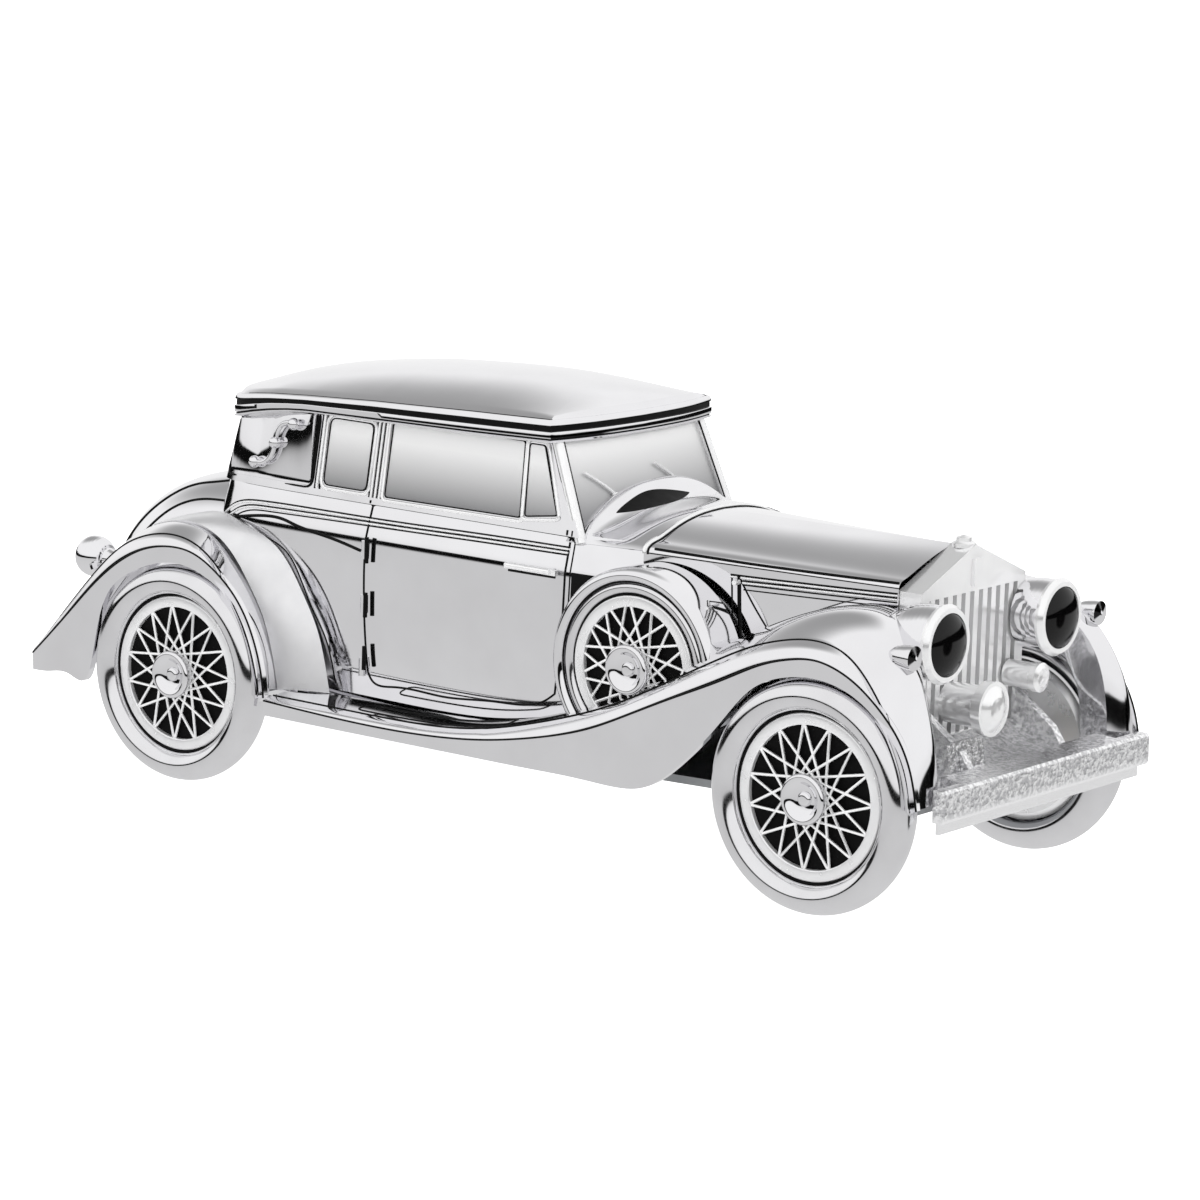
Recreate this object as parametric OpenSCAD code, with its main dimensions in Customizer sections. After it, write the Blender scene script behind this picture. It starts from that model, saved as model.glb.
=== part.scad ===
// Plated diecast model of a 1930s close-coupled saloon car, built from separate castings on a base plate.
// Car frame: +X to the nose, +Y to the car's left, +Z up, ground at z = 0.
// Outlines are drawn from mid-wheelbase, and every piece is then moved so that the origin is the middle
// of the car's footprint.

/* [Car] */
// Distance between the axles
wheelbase = 120; // [116:1:124]
// From mid-wheelbase to the front face of the bumper
nose_x = 81.6; // [81.2:0.2:83]
// From mid-wheelbase to the back of the tail lamps
tail_x = 94.4; // [94:0.2:96]
// Top of the roof above the ground
roof_top_z = 67.8; // [66.5:0.1:69]
// Thickness of the cast walls
wall = 1.8; // [1.6:0.1:2]

/* [Wheels] */
// Outside diameter of a tyre
tyre_d = 34; // [33.4:0.1:34]
// Width of a tyre
tyre_w = 6; // [5.6:0.1:6]
// Distance between the centre planes of a pair of tyres
track = 56; // [55.6:0.1:56]
// Diameter of the axles
axle_d = 3; // [2.8:0.1:3]
// Gap between an axle and its bushes, each side
axle_gap = 0.05; // [0.03:0.01:0.08]
// Spokes that lean each way in a wheel
spoke_pairs = 16; // [12:1:18]

/* [Body] */
// Half width of the body at the doors
body_half = 20.4; // [20:0.1:20.4]
// Half width of the bonnet where it meets the radiator
nose_half = 13.7; // [13.2:0.1:14]
// Height of the lower edge of the running boards
board_z = 13.2; // [13:0.1:13.4]
// Outer face of the wings and running boards
wing_y = 30; // [29.9:0.1:30.2]
// Thickness of the wings
wing_t = 1.8; // [1.6:0.1:2]

/* [Lamps] */
// Outside diameter of a headlamp's rim
headlamp_d = 11.6; // [11:0.1:12]
// Distance between the headlamps
headlamp_gap = 30; // [29.4:0.1:30.4]
// Diameter of the centre driving lamp
driving_lamp_d = 8; // [7:0.1:8.4]

/* [Spare wheels] */
// Diameter of the metal cover over a spare wheel
cover_d = 29.6; // [29:0.1:30]
// Distance of a spare wheel's centre ahead of mid-wheelbase
spare_x = 25.6; // [25.2:0.1:26]
// Height of a spare wheel's centre
spare_z = 30; // [29.6:0.1:30.4]

/* [Hidden] */
$fn = 64;

plated = "gainsboro";
bright = "whitesmoke";
black_paint = "black";

eps = 0.1;
front_x = wheelbase / 2;
rear_x = -wheelbase / 2;
frame_shift = (tail_x - nose_x) / 2;
tyre_r = tyre_d / 2;
axle_r = axle_d / 2;
bush_r = axle_r + 0.7;
rim_face = tyre_w / 2 - 1.9;
bead_r = tyre_r - 4.6;
disc_r = 10.4;
arch_r = tyre_r + 1.1;
plate_top = board_z;
plate_t = 1.2;
belt_z = 45.6;
gutter_z = 60.4;
bonnet_back = 22;
radiator_back = 63.4;
radiator_front = 67.4;
bonnet_top = 50.4;
shoulder_z = 45.2;
rib_spacing = 2.3;

// ---- curves ----

// Point at t between b and c on a Catmull-Rom curve through a, b, c and d
function blend_point(a, b, c, d, t) =
    0.5 * (2 * b + (c - a) * t + (2 * a - 5 * b + 4 * c - d) * t * t + (3 * b - a - 3 * c + d) * t * t * t);

// Smooth curve through a list of points
function smooth(p, steps = 4) = concat(
    [for (i = [0 : len(p) - 2]) for (k = [0 : steps - 1])
        blend_point(p[max(i - 1, 0)], p[i], p[i + 1], p[min(i + 2, len(p) - 1)], k / steps)],
    [p[len(p) - 1]]
);

// Unit normal on the left of a curve at its point i
function normal_at(c, i) =
    let (d = c[min(i + 1, len(c) - 1)] - c[max(i - 1, 0)])
    [-d[1], d[0]] / norm(d);

function moved(c, distance) = [for (i = [0 : len(c) - 1]) c[i] + distance * normal_at(c, i)];
function reversed(c) = [for (i = [len(c) - 1 : -1 : 0]) c[i]];
function mirrored(c) = concat(c, [for (p = reversed(c)) [-p[0], p[1]]]);

// ---- shared shapes ----

module placed() {
    translate([frame_shift, 0, 0])
        children();
}

// An outline in X and Z, as thick as from y0 to y1
module side_slab(y0, y1) {
    translate([0, y1, 0])
        rotate([90, 0, 0])
            linear_extrude(y1 - y0)
                children();
}

// An outline in Y and Z, as thick as from x0 to x1
module cross_slab(x0, x1) {
    translate([x0, 0, 0])
        rotate([90, 0, 90])
            linear_extrude(x1 - x0)
                children();
}

module both_sides() {
    children();
    mirror([0, 1, 0])
        children();
}

// Something turned about an axis along +Y, drawn about +Z
module along_y(x, y, z) {
    translate([x, y, z])
        rotate([-90, 0, 0])
            children();
}

// Something turned about an axis along +X, drawn about +Z
module along_x(x, y, z) {
    translate([x, y, z])
        rotate([0, 90, 0])
            children();
}

// ---- body ----

module cabin_side(inset) {
    polygon(concat(
        [[-66 + inset, plate_top - (inset > 0 ? eps : 0)]],
        smooth([[-66 + inset, 36], [-63.5 + inset, belt_z], [-57.5 + inset, gutter_z - inset]]),
        [
            [3.6 - inset, gutter_z - inset],
            [10.2 - inset, 47.2],
            [bonnet_back - inset, 46 - inset],
            [bonnet_back - inset, plate_top - (inset > 0 ? eps : 0)]
        ]
    ));
}

module cabin_section(inset) {
    polygon(mirrored(concat(
        [[body_half - 2 - inset, plate_top - (inset > 0 ? eps : 0)]],
        smooth([
            [body_half - 1 - inset, 19],
            [body_half - inset, 30],
            [body_half - 0.4 - inset, belt_z],
            [18.6 - inset, gutter_z - inset]
        ])
    )));
}

module cabin(inset) {
    intersection() {
        side_slab(-body_half - 1, body_half + 1)
            cabin_side(inset);
        cross_slab(-70, bonnet_back + 1)
            cabin_section(inset);
    }
}

// The scuttle rises from the doors to an arch in front of the windscreen
module scuttle() {
    intersection() {
        cross_slab(7, bonnet_back)
            polygon(mirrored(smooth([[19.6, 44], [17.5, 47.4], [10, 51.2], [0, 52.6]])));
        side_slab(-body_half, body_half)
            polygon([[9.6, 44], [9.6, 51], [11, 52.6], [bonnet_back, bonnet_top + 0.6], [bonnet_back, 44]]);
    }
}

// A tapering outline from the doors to the nose, in X and Y
module nose_plan(front, inset) {
    polygon([
        [bonnet_back - wall - inset, inset - 19.6],
        [front - inset, inset - nose_half],
        [front - inset, nose_half - inset],
        [bonnet_back - wall - inset, 19.6 - inset]
    ]);
}

// The chassis sides under the bonnet, with a sill under the radiator
module engine_bay() {
    parts = [[radiator_back, 36], [radiator_front, shell_foot]];
    difference() {
        for (part = parts)
            translate([0, 0, plate_top])
                linear_extrude(part[1] - plate_top)
                    nose_plan(part[0], 0);
        for (part = parts)
            translate([0, 0, plate_top - eps])
                linear_extrude(part[1] - plate_top + 2 * eps)
                    nose_plan(part[0], wall);
    }
}

screw_places = [[-34, 15.8], [40, 13.4]];
boss_r = 2.6;
screw_r = 1;
head_r = 1.9;
head_t = 0.7;

module screw_bosses(r, top) {
    for (p = screw_places)
        both_sides()
            translate([p[0], p[1], plate_top])
                cylinder(h = top - plate_top, r = r);
}

module axle_slots() {
    for (x = [rear_x, front_x])
        side_slab(-body_half - 1, body_half + 1) {
            translate([x, tyre_r])
                circle(r = axle_r + 0.8);
            translate([x - axle_r - 0.8, 0])
                square([2 * axle_r + 1.6, tyre_r]);
        }
}

module body_shell() {
    color(plated)
        difference() {
            union() {
                cabin(0);
                scuttle();
                engine_bay();
                screw_bosses(boss_r, 26);
            }
            difference() {
                cabin(wall);
                screw_bosses(boss_r, 26);
            }
            translate([0, 0, -eps])
                screw_bosses(screw_r, 22);
            axle_slots();
            window_recesses();
            both_sides() {
                handle_peg();
                hinge_knuckles();
                iron_pegs();
            }
        }
}

// Window outlines on the body side, in X and Z
quarter_window = [[-39.6, 48.4], [-31.4, 48.4], [-31.4, 58.2], [-39.6, 58.2]];
door_window = [[-27.4, 48.4], [5, 48.4], [1, 59.2], [-27.4, 59.2]];
glass_y = 18.2;
glass_t = 0.8;

module window_outlines() {
    polygon(quarter_window);
    polygon(door_window);
}

module window_recesses() {
    both_sides()
        side_slab(glass_y, body_half + 1)
            window_outlines();
    windscreen_plate(2);
    rear_window_plate(2);
}

module side_windows() {
    color(bright)
        both_sides()
            side_slab(glass_y, glass_y + glass_t)
                window_outlines();
}

// The windscreen leans back from the scuttle to the roof
screen_foot = [9.9, 52.9];
screen_head = [3.9, 59.9];

module windscreen_plate(depth) {
    lean = atan2(screen_foot[0] - screen_head[0], screen_head[1] - screen_foot[1]);
    translate([screen_foot[0] - 1.6, 0, screen_foot[1]])
        rotate([0, -lean, 0])
            cross_slab(0, depth)
                polygon(mirrored([[16.4, 0], [16, 7.6]]));
}

module windscreen() {
    color(bright)
        windscreen_plate(0.8);
}

module rear_window_plate(depth) {
    translate([-60 - depth, 0, 0])
        cross_slab(0, depth)
            polygon(mirrored([[8, 50.5], [8, 56.5]]));
}

module rear_window() {
    color(bright)
        translate([-0.2, 0, 0])
            rear_window_plate(0.8);
}

module wiper_blades() {
    for (y = [-9.6, 6.4])
        translate([9.9, y, 53.3])
            rotate([0, -39, 0])
                rotate([52, 0, 0])
                    translate([0, 0, 0.4])
                        cylinder(h = 6.4, r = 0.25, $fn = 16);
}

module wipers() {
    color(bright)
        wiper_blades();
}

roof_rear = -58.6;
roof_front = 6.4;

module roof_panel() {
    color(plated)
        intersection() {
            side_slab(-22, 22)
                polygon(concat(
                    [[roof_rear, gutter_z]],
                    smooth([
                        [roof_rear - 0.4, gutter_z + 2],
                        [-55, roof_top_z - 4.6],
                        [-43, roof_top_z - 1.4],
                        [-25, roof_top_z],
                        [-8, roof_top_z - 1],
                        [roof_front - 1, gutter_z + 2.6]
                    ]),
                    [[roof_front, gutter_z + 1.4], [roof_front - 0.4, gutter_z]]
                ));
            cross_slab(-62, 10)
                polygon(mirrored(concat(
                    [[20.4, gutter_z]],
                    smooth([[20.9, gutter_z + 1], [19.6, gutter_z + 2.6], [11, roof_top_z - 1.1],
                            [0, roof_top_z]])
                )));
            translate([0, 0, gutter_z - eps])
                linear_extrude(12)
                    polygon(concat(
                        smooth([[-56, -18], [-50, -20.6], [-30, -20.9], [-8, -20.7], [3, -19.8],
                                [6, -14], [6.6, 0]]),
                        smooth([[6, 14], [3, 19.8], [-8, 20.7], [-30, 20.9], [-50, 20.6], [-56, 18],
                                [-59, 0]])
                    ));
        }
}

// The bonnet is an arched shell that narrows to the radiator
function bonnet_arch(half, top, low) =
    smooth([[half, low], [half, shoulder_z - 1], [half - 3, shoulder_z + 2.6],
            [half * 0.45, top - 1.1], [0, top]]);

module bonnet() {
    lower = 36;
    color(plated)
        difference() {
            intersection() {
                cross_slab(bonnet_back, radiator_back)
                    polygon(mirrored(bonnet_arch(19.6, bonnet_top, lower)));
                bonnet_plan(0);
            }
            intersection() {
                cross_slab(bonnet_back - eps, radiator_back - wall)
                    polygon(mirrored(bonnet_arch(19.6 - wall, bonnet_top - wall, lower - eps)));
                bonnet_plan(wall);
            }
        }
}

module bonnet_plan(inset) {
    translate([0, 0, 30])
        linear_extrude(30)
            polygon([
                [bonnet_back - eps, inset - 19.6],
                [radiator_back, inset - nose_half],
                [radiator_back, nose_half - inset],
                [bonnet_back - eps, 19.6 - inset]
            ]);
}

module boot_shell() {
    color(plated)
        difference() {
            boot_form(0);
            boot_form(wall);
            tail_lamp_pair();
        }
}

module boot_form(inset) {
    low = plate_top + 0.8 - (inset > 0 ? eps : 0);
    intersection() {
        side_slab(-19, 19)
            polygon(concat(
                smooth([
                    [-66.05 - inset, 44.8 - inset],
                    [-74 , 44.2 - inset],
                    [-82 + inset * 0.7, 40.4 - inset * 0.7],
                    [-89 + inset, 33],
                    [-92 + inset, 24],
                    [-90.5 + inset, low]
                ]),
                [[-66.05 - inset, low]]
            ));
        translate([0, 0, low - eps])
            linear_extrude(40)
                polygon(concat(
                    [[-66, inset - 18.4]],
                    smooth([
                        [-76, inset - 18],
                        [-86, inset - 15],
                        [-91 + inset, -9],
                        [-92.5 + inset, 0],
                        [-91 + inset, 9],
                        [-86, 15 - inset],
                        [-76, 18 - inset]
                    ]),
                    [[-66, 18.4 - inset]]
                ));
    }
}

// ---- wings and running boards ----

nose_y = 21.2;
web_z = 31;

// Upper edge of the wing and running board, from the tail forward
rear_crest = [
    [-90.6, 16.8], [-85.5, 23.6], [-80, 29.6], [-74, 34.6], [-67.5, 37.8], [-60.5, 38.8], [-54, 37.2],
    [-47.8, 32.8], [-43.8, 27], [-41.6, 21], [-40.4, 16.8]
];
front_crest = [
    [-40, 16.4], [-9, 16.4], [5, 17.2], [16, 21], [27, 26.2], [39, 32.3], [48, 36.8], [56, 39.2],
    [63, 38.6],
    [70, 36], [76, 31], [79.4, 25], [79.8, 19.6]
];

module skirt_outline() {
    polygon(concat([[-90.8, 13.7]], smooth(rear_crest, 3), [[-40.4, board_z], [-79, 13.7]]));
    polygon(concat(
        smooth(front_crest, 3),
        [[79.2, 17.4], [60, 17.4], [33, 14], [28, board_z], [-40.4, board_z]]
    ));
}

module crown_outline(crest) {
    outer = smooth(crest, 3);
    polygon(concat(outer, reversed(moved(outer, -wing_t))));
}

// Where the wings' tops reach inwards, to the body, the bonnet and the nose
module wing_plan() {
    translate([0, 0, 8])
        linear_extrude(40)
            polygon([
                [-92, 18.6], [-66.3, 18.6], [-66.3, body_half + 0.1], [bonnet_back + 0.1, body_half + 0.1],
                [bonnet_back + 0.1, 19.8], [57, 15.2], [57, nose_y], [84, nose_y], [84, wing_y],
                [-92, wing_y]
            ]);
}

// The web between the wing's nose and the radiator, which carries the headlamp
module lamp_web() {
    translate([57, 0, web_z])
        linear_extrude(1.6)
            polygon([[0, 15.3], [8.4, 14.1], [8.4, nose_y + 0.4], [0, nose_y + 0.4]]);
}

module right_wing() {
    lamp_web();
    difference() {
        intersection() {
            union() {
                side_slab(wing_y - wing_t, wing_y)
                    skirt_outline();
                side_slab(12, wing_y) {
                    crown_outline(rear_crest);
                    crown_outline(front_crest);
                    translate([-41, board_z])
                        square([69, 16.4 - board_z - 0.6]);
                }
                intersection() {
                    side_slab(nose_y, nose_y + wing_t)
                        skirt_outline();
                    translate([56, 0, 0])
                        cube([40, wing_y, 60]);
                }
            }
            wing_plan();
        }
        for (x = [rear_x, front_x]) {
            along_y(x, nose_y + wing_t + 0.6, tyre_r)
                cylinder(h = 20, r = arch_r);
            along_y(x, 10, tyre_r)
                cylinder(h = 30, r = 2 * axle_r);
        }
        along_y(spare_x, 15, spare_z)
            cylinder(h = wing_y - wing_t - 15, r = cover_d / 2 + 0.15);
    }
}

module wing_right() {
    color(plated)
        mirror([0, 1, 0])
            right_wing();
}

module wing_left() {
    color(plated)
        right_wing();
}

// ---- nose ----

shell_foot = 22;
pediment_z = 44;
shell_peak = 50.8;
vane_half = 11.2;

cap_r = 1.8;
cap_at = [radiator_back + cap_r + 0.1, 0, shell_peak - 0.6];

module radiator_shell() {
    color(plated) {
        difference() {
            cross_slab(radiator_back, radiator_front)
                polygon(mirrored([[nose_half, shell_foot], [nose_half, shoulder_z], [0, shell_peak]]));
            translate(cap_at)
                cylinder(h = 2, r = cap_r, $fn = 32);
            cross_slab(radiator_back + 1.2, radiator_front + 1)
                polygon(mirrored([[vane_half + 0.4, shell_foot + 1.6], [vane_half + 0.4, pediment_z]]));
        }
        translate([radiator_front - 0.2, -1, pediment_z + 0.8])
            cube([0.8, 2, 4]);
    }
}

module radiator_vanes() {
    color(bright) {
        translate([radiator_back + 1.2, -vane_half - 0.4, shell_foot + 1.6])
            cube([0.6, 2 * vane_half + 0.8, pediment_z - shell_foot - 1.6]);
        for (y = [-4.5 : 1 : 4.5])
            translate([radiator_back + 1.7, y * rib_spacing - 0.6, shell_foot + 1.6])
                cube([2, 1.2, pediment_z - shell_foot - 1.6]);
    }
}

module radiator_cap() {
    color(bright)
        translate(cap_at)
            rotate_extrude($fn = 32)
                polygon([[0, 0], [cap_r, 0], [cap_r, 0.6], [1.2, 0.9], [1.2, 1.4], [0, 1.8]]);
}

headlamp_y = headlamp_gap / 2;
headlamp_z = 38.9;
headlamp_x = 73;
headlamp_r = headlamp_d / 2;

module headlamp_shells() {
    color(plated)
        both_sides() {
            difference() {
                along_x(headlamp_x - 9.6, headlamp_y, headlamp_z)
                    rotate_extrude()
                        difference() {
                            polygon(concat(
                                [[0, 0]],
                                smooth([[1.6, 0.1], [3.6, 1.2], [4.9, 3.2], [headlamp_r - 0.4, 6],
                                        [headlamp_r - 0.4, 8.6]]),
                                [[0, 8.6]]
                            ));
                            translate([0, 7.4])
                                square([headlamp_r - 1.4, 2]);
                        }
                translate([headlamp_x - 12, -1, 20])
                    cube([radiator_front + 0.05 - headlamp_x + 12, nose_half + 1.05, 40]);
            }
            translate([headlamp_x - 8.8, headlamp_y - 0.4, web_z + 1.6])
                cube([1.2, 1.6, 2.4]);
        }
}

module headlamp_rims() {
    color(bright)
        both_sides()
            along_x(headlamp_x - 1, headlamp_y, headlamp_z)
                rotate_extrude()
                    polygon([
                        [headlamp_r - 1.2, 0],
                        [headlamp_r - 0.1, 0],
                        [headlamp_r, 0.5],
                        [headlamp_r - 0.5, 1.2],
                        [headlamp_r - 1.2, 1.2]
                    ]);
}

module headlamp_lenses() {
    color(black_paint)
        both_sides()
            along_x(headlamp_x - 1, headlamp_y, headlamp_z)
                rotate_extrude()
                    polygon(concat(
                        [[0, 0], [headlamp_r - 1.2, 0]],
                        smooth([[headlamp_r - 1.2, 1], [3, 1.9], [1.5, 2.3], [0, 2.4]])
                    ));
}

module side_lamps() {
    color(bright)
        both_sides() {
            along_x(69.6, 24.6, 38.4)
                rotate_extrude($fn = 32)
                    polygon(concat([[0, 0]], smooth([[0.8, 0.2], [1.5, 1.4], [1.8, 3.2], [1.8, 4.2]]),
                                   [[0, 4.6]]));
            translate([70.6, 24.2, 35.8])
                cube([1.4, 0.8, 1.4]);
        }
}

vane_front = radiator_back + 3.7;
lamp_y = -4.8;
lamp_z = 28.4;

module driving_lamp() {
    color(plated)
        along_x(vane_front, lamp_y, lamp_z)
            rotate_extrude()
                difference() {
                    polygon([[0, 0], [3, 0], [3.2, 5.5], [driving_lamp_d / 2, 6.1],
                             [driving_lamp_d / 2, 7.6], [0, 7.6]]);
                    translate([0, 6.9])
                        square([driving_lamp_d / 2 - 0.6, 1]);
                }
}

module driving_lamp_lens() {
    color(bright)
        along_x(vane_front + 6.9, lamp_y, lamp_z)
            rotate_extrude()
                polygon(concat(
                    [[0, 0], [driving_lamp_d / 2 - 0.6, 0]],
                    smooth([[driving_lamp_d / 2 - 0.6, 0.6], [1.8, 1.4], [0, 1.7]])
                ));
}

module horn() {
    color(plated)
        along_x(radiator_front, 10.4, 30.6)
            rotate_extrude($fn = 32)
                polygon([[0, 0], [2, 0], [2, 4.4], [2.2, 4.6], [2.2, 5.6], [1.4, 5.9], [1.2, 5.3],
                         [0, 5.1]]);
}

apron_foot = 17;

module apron_form() {
    union() {
        side_slab(-12.9, 12.9)
            polygon([
                [radiator_front + 0.05, apron_foot],
                [radiator_front + 0.05, 23.4],
                [72, 21.4],
                [76.4, 20.6],
                [76.4, apron_foot]
            ]);
        both_sides()
            side_slab(11.4, 12.9)
                polygon([[radiator_front + 0.05, 22], [radiator_front + 0.05, 28.4], [74.4, 23.4],
                         [76.4, 20.6]]);
    }
}

module front_apron() {
    color(plated)
        difference() {
            apron_form();
            plate_block(0.05);
        }
}

bumper_half = 27.6;

module bumper() {
    rear = nose_x - 5.1;
    color(plated)
        difference() {
            union() {
                side_slab(-bumper_half, bumper_half)
                    polygon([
                        [rear, 16.6], [nose_x - 0.3, 16.4], [nose_x, 16.9], [nose_x - 0.1, 20.6],
                        [nose_x - 0.5, 21], [rear, 21.3]
                    ]);
                side_slab(1 - bumper_half, bumper_half - 1)
                    polygon([[rear, 14.6], [nose_x - 1.2, 14.6], [nose_x - 1.2, 16.5], [rear, 16.7]]);
            }
            both_sides()
                side_slab(20.8, wing_y)
                    polygon(concat(smooth(front_crest, 3), [[79.8, 10], [60, 10]]));
        }
}

plate_at = [73.8, -11, 20.4];
plate_size = [1, 9.2, 4.2];

module plate_block(gap) {
    translate(plate_at)
        rotate([0, -12, 0])
            translate([-gap, -plate_size[1] / 2 - gap, -gap])
                cube([plate_size[0] + 2 * gap, plate_size[1] + 2 * gap, plate_size[2] + 2 * gap]);
}

module number_plate() {
    color(plated)
        plate_block(0);
}

// ---- small fittings ----

// Each handle stands on one peg, which is let into the door
module handle_peg() {
    translate([-2, body_half - 1.2, 40.6])
        cube([1.2, 1.4, 0.8]);
}

module door_handles() {
    color(bright)
        both_sides() {
            handle_peg();
            translate([-2, body_half + 0.05, 40.6])
                cube([9.6, 0.8, 0.8]);
        }
}

hinge_heights = [21.4, 31.2, 39.6];

module hinge_knuckles() {
    for (z = hinge_heights)
        translate([-29.6, body_half + 0.2, z - 1.4])
            cylinder(h = 2.8, r = 0.55, $fn = 24);
}

module door_hinges() {
    color(bright)
        both_sides()
            hinge_knuckles();
}

iron_points = [[-45.4, 56.8], [-49, 53.4], [-53, 50.2]];
ball_r = 0.9;

function iron_y(z) = 20.9 - (z - 48) * 0.07;

// Three short pegs hold each iron off the rear quarter
module iron_pegs() {
    for (p = iron_points)
        along_y(p[0], iron_y(p[1]) - 2, p[1])
            cylinder(h = 2, r = 0.5, $fn = 24);
}

module hood_irons() {
    color(bright)
        both_sides() {
            iron_pegs();
            for (p = iron_points)
                along_y(p[0], iron_y(p[1]), p[1])
                    sphere(r = ball_r, $fn = 32);
            for (i = [0 : 1]) {
                p = iron_points[i];
                q = iron_points[i + 1];
                translate([p[0], iron_y(p[1]), p[1]])
                    rotate([0, atan2(q[0] - p[0], q[1] - p[1]), 0])
                        cylinder(h = norm(q - p), r = 0.45, $fn = 24);
            }
        }
}

module tail_lamp_pair() {
    both_sides()
        along_x(-tail_x, 14.4, 29.6)
            rotate_extrude($fn = 48)
                polygon(concat(
                    [[0, 0]],
                    smooth([[1.2, 0.1], [2.6, 0.9], [3.3, 2.3], [3.2, 4], [2.4, 5.4], [1.5, 6.2],
                            [1.2, 8.4]]),
                    [[0, 8.4]]
                ));
}

module tail_lamps() {
    color(plated)
        tail_lamp_pair();
}

module rear_plate_box() {
    color(plated)
        difference() {
            translate([-93.6, -6, 15.4])
                cube([3.4, 12, 6.4]);
            boot_form(0);
        }
}

// ---- wheels, drawn about +Z with the outer side up and the tyre's middle at z = 0 ----

module tyre() {
    half_flat = tyre_w / 2 - 2.5;
    rotate_extrude($fn = 96)
        difference() {
            union() {
                for (s = [-1, 1])
                    translate([tyre_r - 2.5, s * half_flat])
                        circle(r = 2.5, $fn = 48);
                translate([tyre_r - 5, -half_flat])
                    square([5, 2 * half_flat]);
            }
            translate([0, -5])
                square([bead_r, 10]);
        }
}

// A dished rim, closed behind, with a boss for the axle
module rim(bore) {
    back = -2.8;
    rotate_extrude($fn = 96)
        polygon([
            [bore, back],
            [bead_r - 1.2, back],
            [bead_r, back + 1],
            [bead_r, rim_face],
            [disc_r, rim_face - 0.2],
            [disc_r, back + 1.2],
            [3, back + 1.2],
            [3, -0.8],
            [bore, -0.8]
        ]);
}

module backing(radius) {
    translate([0, 0, -0.8])
        cylinder(h = 1.2, r = radius - 0.02);
}

// Flat spokes laced both ways in two layers that bite into each other, all tangent to the hub flange
module spokes(radius) {
    hub_r = 2.9;
    length = sqrt(radius * radius - hub_r * hub_r);
    translate([0, 0, 0.4])
        cylinder(h = 0.5, r = hub_r + 0.4, $fn = 48);
    for (lean = [0, 1])
        for (i = [0 : spoke_pairs - 1])
            translate([0, 0, 0.45 + 0.14 * lean])
                rotate(i * 360 / spoke_pairs + lean * 5)
                    mirror([lean, 0])
                        translate([hub_r - 0.15, 0])
                            cube([0.3, length - 0.12, 0.27]);
}

module hub_cap() {
    rotate_extrude($fn = 48)
        polygon([
            [0, 0.9], [2.4, 0.9], [2.4, 2], [3.4, 2.2], [3.6, 2.6], [3.3, 3.1], [2.8, 3.1], [1.2, 2.3],
            [0, 2.1]
        ]);
}

module at_wheel(x, side) {
    translate([x, side * track / 2, tyre_r])
        rotate([-90 * side, 0, 0])
            children();
}

module axle(x) {
    color("silver")
        along_y(x, -track / 2 + 0.8, tyre_r)
            cylinder(h = track - 1.6, r = axle_r);
}

module at_spare(side) {
    translate([spare_x, side * 24.4, spare_z])
        rotate([-90 * side, 0, 0])
            children();
}

spare_tyre_r = 12.7;

module each_spare() {
    for (side = [-1, 1])
        at_spare(side)
            children();
}

module spare_tyres() {
    color(bright)
        each_spare()
            rotate_extrude()
                difference() {
                    translate([spare_tyre_r - 2, -0.4])
                        circle(r = 2, $fn = 48);
                    translate([0, -5])
                        square([10.4, 10]);
                }
}

module spare_rims() {
    color(bright)
        each_spare()
            rotate_extrude()
                polygon([
                    [0, -2.6], [10.4, -2.6], [10.4, 1.2], [9, 0.9], [9, -0.8], [0, -0.8]
                ]);
}

// The metal cover is a band over the spare, cut off by the wing below it
module spare_cover(side) {
    color(plated)
        at_spare(side)
            rotate_extrude()
                polygon([
                    [cover_d / 2 - 2, -3.9],
                    [cover_d / 2 - 0.9, -3.9],
                    [cover_d / 2, -3.1],
                    [cover_d / 2, 0],
                    [cover_d / 2 - 0.7, 1.3],
                    [cover_d / 2 - 2, 1.7]
                ]);
}

// ---- underside ----

post_y = 10;
post_w = 3;

module base_plate() {
    color("silver")
        difference() {
            union() {
                translate([0, 0, plate_top - plate_t])
                    linear_extrude(plate_t)
                        polygon([
                            [-65.6, -17.8], [-65.6, 17.8], [20, 17.8], [65.4, 13], [65.4, -13], [20, -17.8]
                        ]);
                for (x = [rear_x, front_x])
                    both_sides()
                        side_slab(post_y - post_w / 2, post_y + post_w / 2) {
                            translate([x - 3.4, plate_top - eps])
                                square([6.8, tyre_r - plate_top + eps]);
                            translate([x, tyre_r])
                                circle(r = 3.4);
                        }
            }
            for (x = [rear_x, front_x])
                along_y(x, -15, tyre_r)
                    cylinder(h = 30, r = bush_r);
            for (p = screw_places)
                both_sides()
                    translate([p[0], p[1], 0]) {
                        cylinder(h = 20, r = screw_r + 0.15);
                        cylinder(h = plate_top - plate_t + head_t, r = head_r + 0.1);
                    }
        }
}

module axle_bushes() {
    color("goldenrod")
        for (x = [rear_x, front_x])
            both_sides()
                along_y(x, post_y - post_w / 2, tyre_r)
                    difference() {
                        cylinder(h = post_w, r = bush_r);
                        translate([0, 0, -1])
                            cylinder(h = post_w + 2, r = axle_r + axle_gap);
                    }
}

module base_screws() {
    color("silver")
        for (p = screw_places)
            both_sides()
                translate([p[0], p[1], plate_top - plate_t + 0.1])
                    difference() {
                        union() {
                            cylinder(h = 8, r = screw_r);
                            cylinder(h = head_t - 0.1, r = head_r);
                        }
                        translate([-2, -0.2, -0.1])
                            cube([4, 0.4, 0.4]);
                    }
}

// ---- nodes ----

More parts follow.
